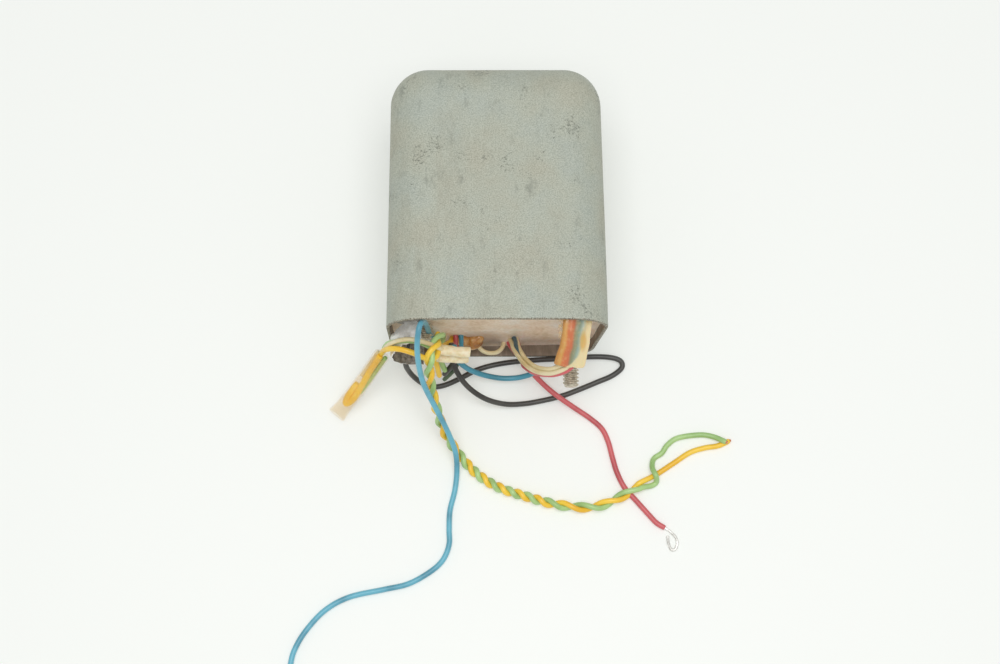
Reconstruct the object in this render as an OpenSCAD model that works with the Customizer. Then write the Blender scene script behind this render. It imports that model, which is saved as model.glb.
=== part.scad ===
// Small potted transformer: a deep-drawn steel can, filled with resin, that holds an
// E and I laminated core with its coil. Thin insulated leads and a fixing stud come out
// of the open end. It lies on one wide face. X is across the can, Y runs along it
// towards the closed end, and Z is up from the surface that it lies on.

/* [Can] */
// Outer width of the can
can_w = 61.5; // [60:0.5:63]
// Outer depth of the can, its height as it lies
can_d = 46; // [45:0.5:48]
// Outer length from the rim to the closed end
can_l = 77; // [75:0.5:80]
// Radius of the four long corners and of the closed end's edge
corner_r = 11; // [8:0.5:12]
// Thickness of the drawn steel
wall = 1; // [0.8:0.1:1]
// Depth of the resin face below the rim
recess = 4.5; // [3:0.5:5]

/* [Core and coil] */
// Width of the laminations
core_w = 54; // [50:1:54]
// Height of the stack of laminations
stack = 22; // [16:1:22]
// Width of the middle limb, a third of the core's width
limb_w = 18; // [16:0.5:18]
// Length of the winding windows
window_l = 27; // [24:1:27]
// Thickness of the moulded bobbin's walls
bobbin_t = 1; // [0.8:0.1:1.2]
// Build-up of the primary winding
primary_t = 3.4; // [2.5:0.1:3.6]
// Build-up of the secondary winding
secondary_t = 2.2; // [1.5:0.1:2.2]
// Thickness of each layer of insulating tape
tape_t = 0.4; // [0.2:0.1:0.4]

/* [Studs] */
// Outer diameter of the stud's thread
stud_d = 4.76; // [4:0.01:5]
// Length of the stud beyond the rim
stud_out = 14; // [12:0.5:16]
// Distance from the middle of the can to each stud
stud_x = 21; // [20:0.5:22]
// Length of the cut-off stud beyond the resin
stub_out = 5; // [3:0.5:6]

/* [Leads] */
// Outer diameter of the insulated leads
lead_d = 1.6; // [1.4:0.1:1.6]
// Outer diameter of the thin wires of the bundle
thin_d = 1.3; // [1:0.1:1.3]
// Outer diameter of the bare conductor
bare_d = 0.8; // [0.6:0.1:0.8]
// Outer diameter of the clear sleeve
clear_d = 5; // [4:0.5:5]
// Outer diameter of the thin cream sleeves
cream_d = 3; // [2.5:0.1:3]

/* [Hidden] */
$fn = 48;

mid_z = can_d / 2;
rim_y = -(can_l + stud_out) / 2 + stud_out;
face_y = rim_y + recess;
end_y = rim_y + can_l;
tip_y = rim_y - stud_out;
gap = 0.05;

// Core: the E's back faces the open end, and the I closes it
limb_side = limb_w / 2;
core_y = face_y + 12;
window_y = core_y + limb_side;
window_end = window_y + window_l;
window_w = (core_w - 2 * limb_w) / 2;
coil_l = window_l - 2 * bobbin_t - 0.4;
coil_y = window_y + bobbin_t + 0.2;
tube_w = limb_w + 0.2;
tube_h = stack + 0.2;
primary_in = bobbin_t;
tape_in = primary_in + primary_t;
secondary_in = tape_in + tape_t;
wrap_in = secondary_in + secondary_t;
coil_out = wrap_in + tape_t;
flange = min(coil_out + 0.3, window_w - 0.2);

// Bracket between the core and the resin's face
bracket_y = face_y + 3.5;
bracket_t = 1.5;
bracket_h = 16;
neck_d = stud_d - 0.8;
strap_t = 1;
strap_h = 12;
head_d = 8;
head_t = 3;
chamfer = 0.5;

// Routes of the leads, as points along their middle lines
blue_points = [
    [-19.4, -27, 6], [-19.5, -28.6, 11], [-19.7, -29.4, 20], [-20, -29.7, 30], [-20.4, -30.4, 38],
    [-20.9, -31.8, 43.6], [-21.6, -34.2, 45.2], [-22.2, -38, 41.4],
    [-22, -42, 34], [-20.8, -46, 27], [-18.2, -50.2, 19.5], [-15, -55.5, 12.5], [-12.5, -61, 6.5],
    [-12, -66.2, 2.4], [-12.6, -72, 0.8], [-14, -78, 0.8], [-14.2, -83.5, 0.8], [-14.2, -88, 0.8],
    [-16, -92.5, 0.8], [-19.8, -96, 0.8], [-26, -99.4, 0.8], [-33, -101, 0.8], [-43, -103.2, 0.8],
    [-50, -107, 0.8], [-55.5, -113, 0.8], [-58.5, -118.3, 0.8], [-59.5, -122.3, 0.8],
    [-60, -128, 0.8], [-60, -134, 0.8]
];
blue_bare_points = [[-60, -134, 0.8], [-59.9, -137, 0.8], [-59.6, -140, 0.8]];
black_points = [
    [-13.5, -31, 16], [-13.3, -35, 14], [-11.9, -38.6, 11], [-8.7, -42.4, 8], [-3.7, -45.3, 5],
    [2.2, -46.4, 2.4], [8, -46, 1], [14, -44.9, 0.8], [19.2, -43.6, 0.8], [24, -41.8, 0.8],
    [29.5, -39.5, 0.8], [34.3, -37.4, 0.8], [37.2, -35, 0.8], [36.9, -32.9, 0.8], [33.8, -31.8, 0.8],
    [28, -31.6, 0.8], [18.7, -32.2, 0.8], [11.2, -32.6, 0.8], [3.7, -33.3, 0.8], [-2.3, -34.4, 0.8],
    [-6.8, -35.9, 0.8], [-11.3, -38.3, 0.8], [-15.8, -40.3, 0.8], [-19.6, -40.9, 1.4],
    [-23.2, -39.9, 4], [-26, -38, 8.5], [-27, -36.2, 13], [-26.4, -33, 16], [-25.6, -27, 16.6]
];
teal_points = [
    [-12.6, -32, 17], [-12.4, -34.6, 14], [-9.6, -36.6, 9], [-5.2, -37.8, 5], [0.5, -38.6, 3],
    [5.2, -38.6, 3], [8.6, -38.2, 4.4], [10.4, -37.8, 6], [11.2, -37.6, 7.6]
];
red_points = [
    [3, -27, 5], [3.6, -29.2, 7], [5, -31.4, 8], [6.6, -33.4, 7.6], [8.8, -35.9, 6.2],
    [11.4, -38.6, 4.6], [15, -41.8, 3], [18.6, -44.6, 2.6], [23.1, -47.5, 1.4], [27.5, -50.4, 0.8],
    [31, -53.6, 0.8], [32.8, -57.5, 0.8], [34, -62.3, 0.8], [35.3, -66.8, 0.8], [37.5, -71.3, 0.8],
    [40.7, -75, 0.8], [44.2, -79, 0.8], [46.6, -81.6, 0.8], [49, -83.1, 0.8]
];
eye_points = [
    [49, -83.1, 0.8], [50.4, -84, 0.7], [52, -85.6, 0.6], [52.6, -87.4, 0.6], [52, -89.2, 0.6],
    [50.8, -89.4, 0.6], [50, -87.6, 0.6], [49.8, -85.4, 0.8]
];
pair_points = [
    [-16.2, -31, 27], [-17.4, -34.6, 31], [-18.7, -37.2, 32], [-19.3, -39.8, 30.5],
    [-19.4, -42.3, 26.5], [-19, -45.6, 19.5], [-17.6, -50.3, 12], [-15.8, -55.2, 6.4],
    [-12.6, -60, 2.8], [-9.2, -64.1, 1.6], [-5.2, -67.9, 1.6], [0.7, -71.4, 1.6], [8, -73.8, 1.6],
    [15.4, -75.9, 1.6], [22.7, -77, 1.6], [28.6, -77, 1.6], [33.6, -75.3, 1.6], [38.9, -72.6, 1.6],
    [43.4, -69.9, 1.6]
];
yellow_tail_points = [
    [43.4, -69.9, 1.6], [47, -67.2, 0.9], [52.5, -63.6, 0.8], [57, -60.7, 0.8], [61.5, -59.3, 0.8],
    [65.3, -58.7, 0.8], [68.7, -57.2, 0.8]
];
green_tail_points = [
    [43.4, -69.9, 1.6], [45.4, -70.6, 0.8], [46.8, -69.6, 0.8], [46.6, -68, 2.6], [45.6, -65.4, 2],
    [46.2, -62.6, 0.8], [48.6, -60.9, 0.8], [50.4, -58.4, 0.8], [53.6, -56.3, 0.8], [60, -55.4, 0.8],
    [64, -56, 1], [67.6, -57.8, 2.2]
];
clear_points = [[-33.6, -35.4, 19], [-40.4, -42.4, 10], [-47.8, -49.8, 2.8]];
yellow_fold_points = [
    [-16.5, -34, 27], [-17.5, -38.4, 29], [-20.5, -39, 31.2], [-23.8, -38, 33], [-27.1, -37, 33],
    [-29.8, -36.4, 31.4], [-31.6, -35.8, 28], [-32.8, -35.2, 23.5], [-33.6, -35, 19.4]
];
green_fold_points = [
    [-16.5, -35.8, 24], [-18.3, -35.6, 28], [-21.9, -34.9, 32.4], [-25, -34.6, 33.2],
    [-28.6, -34.4, 31.8], [-31.2, -34, 28], [-32.8, -34, 22]
];
cream_arch_points = [
    [-15.5, -35.8, 27.5], [-19.6, -35.2, 33], [-23.8, -34.6, 35], [-26.8, -34.6, 34.6],
    [-29.4, -34.8, 32.4], [-31.6, -35, 28], [-33, -35.2, 22]
];
cream_loop_points = [
    [-6.4, -27, 6], [-5.6, -30, 7.5], [-4.3, -31.5, 8], [-2.3, -32, 7.5], [0.1, -31.5, 7],
    [1.6, -29.6, 6.4], [2, -27, 6]
];
bundle_points = [
    [4.3, -27, 6.5], [5, -29.6, 10], [5.3, -31.6, 12.8], [6.3, -34.4, 16.4], [7.7, -37.4, 20.4],
    [9.3, -39.8, 24], [11.1, -41.5, 27], [13, -42.5, 29.4], [15, -43, 31.4], [17, -42.8, 33],
    [18.8, -42.2, 34.4], [20, -41.2, 35.4]
];
wide_points = [[22.4, -27, 41.6], [22.2, -31, 41.4], [21.5, -36.5, 38.8], [20, -42, 34.8]];
cream_upper_points = [[-17.2, -35.4, 27.2], [-12.5, -36, 26.4], [-7.9, -36, 25.4]];
cream_lower_points = [[-17.4, -36.8, 23.4], [-13, -37, 22.6], [-8.5, -36.8, 21.8]];
yellow_stub_points = [[-18.2, -34.6, 20.4], [-18.2, -36, 18.6], [-17.6, -38, 16], [-17, -40, 12]];
green_stub_points = [[-16.6, -33.6, 18], [-16.4, -36.2, 14.4], [-15.4, -38.2, 11]];
black_stub_points = [[-12, -34.6, 15.6], [-13.4, -36.8, 12.4], [-15.8, -38.9, 9]];
dark_green_stub_points = [[-11.2, -35, 11.4], [-13, -37.4, 8], [-16, -39.8, 5.6]];
green_riser_points = [[-16, -27, 11], [-16.1, -30.4, 15], [-16, -33.6, 19]];
yellow_riser_points = [[-13.2, -27, 8], [-14, -29.4, 11], [-15.2, -31.4, 15.6], [-15.6, -33.2, 21]];

// Sweeps. A ring stands on each point of a route, and its side direction is carried
// along so that the tube doesn't twist.
function unit(v) = v / norm(v);
function along(p, i) = unit(p[min(i + 1, len(p) - 1)] - p[max(i - 1, 0)]);
function square_to(v, t) = unit(v - (v * t) * t);
function side_dirs(p) = [
    for (
        i = 0, s = square_to([0.3, 0.2, 1], along(p, 0));
        i < len(p);
        i = i + 1, s = i < len(p) ? square_to(s, along(p, i)) : s
    ) s
];
function ring(c, t, s, rs, ru, n) = [
    for (k = [0:n - 1]) c + rs * cos(360 * k / n) * s + ru * sin(360 * k / n) * cross(t, s)
];

// A closed tube along a route, wider across than it is thick where ratio is over 1
module sweep(p, d, ratio = 1, n = 8) {
    s = side_dirs(p);
    m = len(p);
    polyhedron(
        points = [
            for (i = [0:m - 1]) each ring(p[i], along(p, i), s[i], d / 2, d * ratio / 2, n)
        ],
        faces = concat(
            [[for (k = [0:n - 1]) k]],
            [[for (k = [n - 1:-1:0]) (m - 1) * n + k]],
            [
                for (i = [0:m - 2], k = [0:n - 1])
                    [i * n + k, (i + 1) * n + k, (i + 1) * n + (k + 1) % n, i * n + (k + 1) % n]
            ]
        )
    );
}

// Turns a flat outline drawn in X and Z into a solid from y0 to y1
module along_y(y0, y1) {
    translate([0, y1, mid_z]) rotate([90, 0, 0]) linear_extrude(y1 - y0) children();
}

module rounded(w, h, r) {
    square([w - 2 * r, h], center = true);
    square([w, h - 2 * r], center = true);
    for (sx = [-1, 1], sy = [-1, 1])
        translate([sx * (w / 2 - r), sy * (h / 2 - r)]) circle(r);
}

// A rounded tube's section: inner opening w by h, with a wall of t outside it
module loop_section(w, h, t, r) {
    difference() {
        rounded(w + 2 * t, h + 2 * t, r + t);
        if (r > 0) rounded(w, h, r);
        else square([w, h], center = true);
    }
}

// The can's outline grown inwards by t, open towards -Y, with its own ball corners
module can_form(t, y0) {
    r = corner_r - t;
    cx = can_w / 2 - corner_r;
    cz = can_d / 2 - corner_r;
    cy = end_y - corner_r;
    along_y(y0, cy) rounded(can_w - 2 * t, can_d - 2 * t, r);
    translate([0, cy, mid_z]) {
        for (sx = [-1, 1], sz = [-1, 1]) translate([sx * cx, 0, sz * cz]) sphere(r);
        for (sz = [-1, 1])
            translate([0, 0, sz * cz]) rotate([0, 90, 0]) cylinder(h = 2 * cx, r = r, center = true);
        for (sx = [-1, 1]) translate([sx * cx, 0, 0]) cylinder(h = 2 * cz, r = r, center = true);
        translate([-cx, 0, -cz]) cube([2 * cx, r, 2 * cz]);
    }
}

module can() {
    color("#aeb2a4") difference() {
        can_form(0, rim_y);
        can_form(wall, rim_y - 1);
    }
}

module e_laminations() {
    color("#6f7276") difference() {
        translate([-core_w / 2, core_y, mid_z - stack / 2])
            cube([core_w, limb_side + window_l - gap, stack]);
        for (s = [-1, 1])
            translate([s * (limb_side + window_w / 2) - window_w / 2, window_y, 0])
                cube([window_w, window_l + 1, can_d]);
    }
}

module i_laminations() {
    color("#7b7e82")
        translate([-core_w / 2, window_end, mid_z - stack / 2]) cube([core_w, limb_side, stack]);
}

module bobbin() {
    color("#e6e0c8") {
        along_y(coil_y, coil_y + coil_l) loop_section(tube_w, tube_h, bobbin_t, 0);
        for (y = [coil_y - bobbin_t, coil_y + coil_l])
            along_y(y, y + bobbin_t) loop_section(tube_w, tube_h, flange, 0);
    }
}

// One layer of the coil, from t_in to t_out beyond the bobbin's opening
module coil_layer(t_in, t_out) {
    along_y(coil_y, coil_y + coil_l) difference() {
        rounded(tube_w + 2 * t_out, tube_h + 2 * t_out, t_out);
        if (t_in > bobbin_t) rounded(tube_w + 2 * t_in, tube_h + 2 * t_in, t_in);
        else square([tube_w + 2 * t_in, tube_h + 2 * t_in], center = true);
    }
}

module primary_winding() { color("#b5652a") coil_layer(primary_in, tape_in); }
module interlayer_insulation() { color("#e9d9a0") coil_layer(tape_in, secondary_in); }
module secondary_winding() { color("#c67a3a") coil_layer(secondary_in, wrap_in); }
module outer_wrap() { color("#d8b45a") coil_layer(wrap_in, coil_out); }

// Steel strap round the back and the sides of the core
module clamp_frame() {
    strap_l = core_y - bracket_y - bracket_t + limb_side + window_l;
    color("#9a9ca0") difference() {
        translate([-core_w / 2 - strap_t, bracket_y + bracket_t, mid_z - strap_h / 2])
            cube([core_w + 2 * strap_t, strap_l, strap_h]);
        translate([-core_w / 2, core_y, mid_z - stack / 2 - 1])
            cube([core_w, strap_l, stack + 2]);
        translate([-core_w / 2, bracket_y + bracket_t + strap_t, mid_z - stack / 2 - 1])
            cube([core_w, core_y - bracket_y - bracket_t - 2 * strap_t, stack + 2]);
        for (s = [-1, 1]) stud_place(s) cylinder(h = 40, d = neck_d + 0.4, center = true);
        for (s = [-1, 1])
            stud_place(s) translate([0, 0, -bracket_y - bracket_t - head_t])
                cylinder(h = head_t, d = head_d);
    }
}

// Puts a solid drawn along +Z on a stud's axis, with +Z turned to -Y from y = 0
module stud_place(s) {
    translate([s * stud_x, 0, mid_z]) rotate([90, 0, 0]) children();
}

module stud_bracket() {
    color("#8e9094") difference() {
        along_y(bracket_y, bracket_y + bracket_t) rounded(core_w, bracket_h, 3);
        for (s = [-1, 1])
            stud_place(s) cylinder(h = 80, d = neck_d, center = true);
    }
}

// The heads clamp the studs' necks against the back of the bracket
module stud_heads() {
    color("#8b8d90") for (s = [-1, 1])
        stud_place(s) translate([0, 0, -bracket_y - bracket_t - head_t]) difference() {
            cylinder(h = head_t, d = head_d, $fn = 6);
            translate([0, 0, -1]) cylinder(h = head_t + 2, d = neck_d);
        }
}

// A stud from behind its head to the given end, thin inside the resin
module stud(s, y_end) {
    stud_place(s) translate([0, 0, -bracket_y - bracket_t - head_t]) {
        neck = bracket_y + bracket_t + head_t - face_y;
        full = bracket_y + bracket_t + head_t - y_end;
        cylinder(h = neck, d = neck_d);
        translate([0, 0, neck]) cylinder(h = full - neck - chamfer, d = stud_d);
        translate([0, 0, full - chamfer])
            cylinder(h = chamfer, d1 = stud_d, d2 = stud_d - 2 * chamfer);
    }
}

module mounting_stud() { color("#a2977f") stud(1, tip_y); }
module cut_stud() { color("#a2977f") stud(-1, face_y - stub_out); }

// Everything that the resin flows round
module embedded() {
    e_laminations();
    i_laminations();
    along_y(coil_y - bobbin_t, coil_y + coil_l + bobbin_t) rounded(core_w - limb_w + 1, 40, 1);
    translate([-core_w / 2, window_y, mid_z - stack / 2]) cube([core_w, window_l, stack]);
    clamp_frame();
    translate([-core_w / 2, bracket_y, mid_z - bracket_h / 2])
        cube([core_w, core_y - bracket_y, bracket_h]);
    for (s = [-1, 1]) stud_place(s) cylinder(h = 80, d = neck_d, center = true);
    tinned_strip();
}

module potting_compound() {
    color("#c1ab8f") difference() {
        can_form(wall, face_y);
        embedded();
    }
}

// Tinned strip curled up in the left corner of the open end, with a tongue into the resin
// and a flat foot above it
strip_x = -23.3;
strip_z = 24.6;
strip_r = 7.8;
strip_t = 0.8;
strip_l = 6;
tongue_w = 3;
plate_x = -28;
plate_w = 6.2;
plate_h = 8;
plate_t = 1;
module tinned_strip() {
    color("#b9b6ae") {
        translate([strip_x, rim_y, strip_z]) rotate([90, 0, 0]) difference() {
            cylinder(h = strip_l, r = strip_r);
            translate([0, 0, -1]) cylinder(h = strip_l + 2, r = strip_r - strip_t);
            translate([strip_r / 2, -strip_r, -1]) cube([strip_r, 2 * strip_r, strip_l + 2]);
        }
        translate([strip_x - tongue_w, rim_y - 2, strip_z + strip_r - strip_t])
            cube([tongue_w, recess + 3.5, strip_t]);
        translate([plate_x, face_y - plate_t, strip_z + strip_r - strip_t])
            cube([plate_w, plate_t, plate_h]);
    }
}

// Two drops of hard wax that ran together on the resin
module wax_blob() {
    color("#b98a55") translate([-8.7, face_y, 8]) intersection() {
        hull() {
            translate([-2.8, -0.8, 1.6]) sphere(2.7, $fn = 28);
            translate([2.4, -0.8, 1.2]) sphere(3, $fn = 28);
        }
        translate([-10, -10, -10]) cube([20, 10, 20]);
    }
}

module wide_sleeve() { color("#e2a860") sweep(wide_points, 3.2, 2.6, 16); }
module cream_sleeve_upper() { color("#e8ddb0") sweep(cream_upper_points, cream_d); }
module cream_sleeve_lower() { color("#e4d8a8") sweep(cream_lower_points, cream_d); }
module blue_lead() { color("#5aafd0") sweep(blue_points, lead_d); }
module blue_lead_bare_end() { color("#c9c4b8") sweep(blue_bare_points, bare_d); }
module black_lead() { color("#3a3634") sweep(black_points, lead_d); }
module teal_link() { color("#3e93b5") sweep(teal_points, lead_d); }
module red_lead() { color("#cc5560") sweep(red_points, lead_d); }
module red_lead_eye() { color("#c9c4b8") sweep(eye_points, bare_d); }
module twisted_pair() { color("#c8c458") sweep(pair_points, 2 * lead_d); }
module yellow_tail() { color("#f5be2d") sweep(yellow_tail_points, lead_d); }
module green_tail() { color("#9cc884") sweep(green_tail_points, lead_d); }
module clear_sleeve() { color("#f2dfa8") sweep(clear_points, clear_d, 1, 12); }
module yellow_fold() { color("#f0b400") sweep(yellow_fold_points, lead_d); }
module green_fold() { color("#7fae6c") sweep(green_fold_points, thin_d); }
module cream_arch() { color("#eadfb8") sweep(cream_arch_points, thin_d); }
module cream_loop() { color("#d9cba6") sweep(cream_loop_points, thin_d); }

// One wire of the bundle. Its place beside the bundle's middle line and its lift above
// the line change on the way, as pairs of the share of the way and millimetres.
module bundle_wire(beside, lift) {
    p = bundle_points;
    n = len(p) - 1;
    sweep([
        for (i = [0:n])
            p[i] + lookup(i / n, beside) * unit(cross(along(p, i), [0, 0, 1]))
                + [0, 0, lookup(i / n, lift)]
    ], thin_d);
}

module bundle_cream_left() {
    color("#e8dcb4") bundle_wire([[0, 0.9], [0.4, 0.65]], [[0, 0.45]]);
}

module bundle_cream_right() {
    color("#e3d5a6") bundle_wire([[0, -0.9], [0.4, -0.65]], [[0, 0.45]]);
}

module bundle_red() {
    color("#d0606a") bundle_wire([[0, -1.2], [0.3, -0.9], [0.5, 1], [0.8, 0.8], [1, 1.5]],
        [[0, -1.2], [0.6, -1.1], [1, -0.3]]);
}

module bundle_dark_blue() {
    color("#3f6476") bundle_wire([[0, -0.4], [0.4, 0], [0.8, -0.6], [1, -1.6]],
        [[0, 1.3], [0.2, 1.1], [0.45, -1], [0.8, -0.9], [1, -0.3]]);
}

module yellow_stub() { color("#f5be2d") sweep(yellow_stub_points, lead_d); }
module green_stub() { color("#7fae6c") sweep(green_stub_points, lead_d); }
module black_stub() { color("#3a3634") sweep(black_stub_points, lead_d); }
module dark_green_stub() { color("#4a5a48") sweep(dark_green_stub_points, thin_d); }
module green_riser() { color("#7fae6c") sweep(green_riser_points, lead_d); }
module yellow_riser() { color("#f5be2d") sweep(yellow_riser_points, lead_d); }

can();
potting_compound();
e_laminations();
i_laminations();
bobbin();
primary_winding();
interlayer_insulation();
secondary_winding();
outer_wrap();
clamp_frame();
stud_bracket();
stud_heads();
mounting_stud();
cut_stud();
tinned_strip();
wax_blob();
wide_sleeve();
cream_sleeve_upper();
cream_sleeve_lower();
blue_lead();
blue_lead_bare_end();
black_lead();
teal_link();
red_lead();
red_lead_eye();
twisted_pair();
yellow_tail();
green_tail();
clear_sleeve();
yellow_fold();
green_fold();
cream_arch();
cream_loop();
bundle_cream_left();
bundle_cream_right();
bundle_red();
bundle_dark_blue();
yellow_stub();
green_stub();
black_stub();
dark_green_stub();
green_riser();
yellow_riser();
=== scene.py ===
# A small potted transformer: a painted can on a table, with flying leads at its open end
import math

import bmesh
import bpy
import numpy as np
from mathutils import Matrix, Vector, noise


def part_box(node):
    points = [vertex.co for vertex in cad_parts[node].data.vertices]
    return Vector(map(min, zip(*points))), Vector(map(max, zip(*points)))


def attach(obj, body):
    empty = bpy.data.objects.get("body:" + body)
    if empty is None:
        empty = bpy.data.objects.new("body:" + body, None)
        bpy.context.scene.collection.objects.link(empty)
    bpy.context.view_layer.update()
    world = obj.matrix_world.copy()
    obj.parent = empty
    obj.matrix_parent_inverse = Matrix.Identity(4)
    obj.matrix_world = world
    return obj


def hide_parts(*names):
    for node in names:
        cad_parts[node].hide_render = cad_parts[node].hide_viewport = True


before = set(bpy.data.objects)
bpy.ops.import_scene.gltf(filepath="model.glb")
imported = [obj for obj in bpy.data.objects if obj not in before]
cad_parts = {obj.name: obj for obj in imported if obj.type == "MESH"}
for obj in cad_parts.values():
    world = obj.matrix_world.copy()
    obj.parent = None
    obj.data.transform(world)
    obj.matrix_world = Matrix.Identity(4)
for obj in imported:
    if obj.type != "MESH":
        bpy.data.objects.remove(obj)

noise.seed_set(7)  # noise_vector's offsets follow the clock otherwise
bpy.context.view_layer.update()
millimetre = 0.001
wavePeriod = 2 * math.pi / 20  # a wave texture's own period at a scale of one

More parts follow.
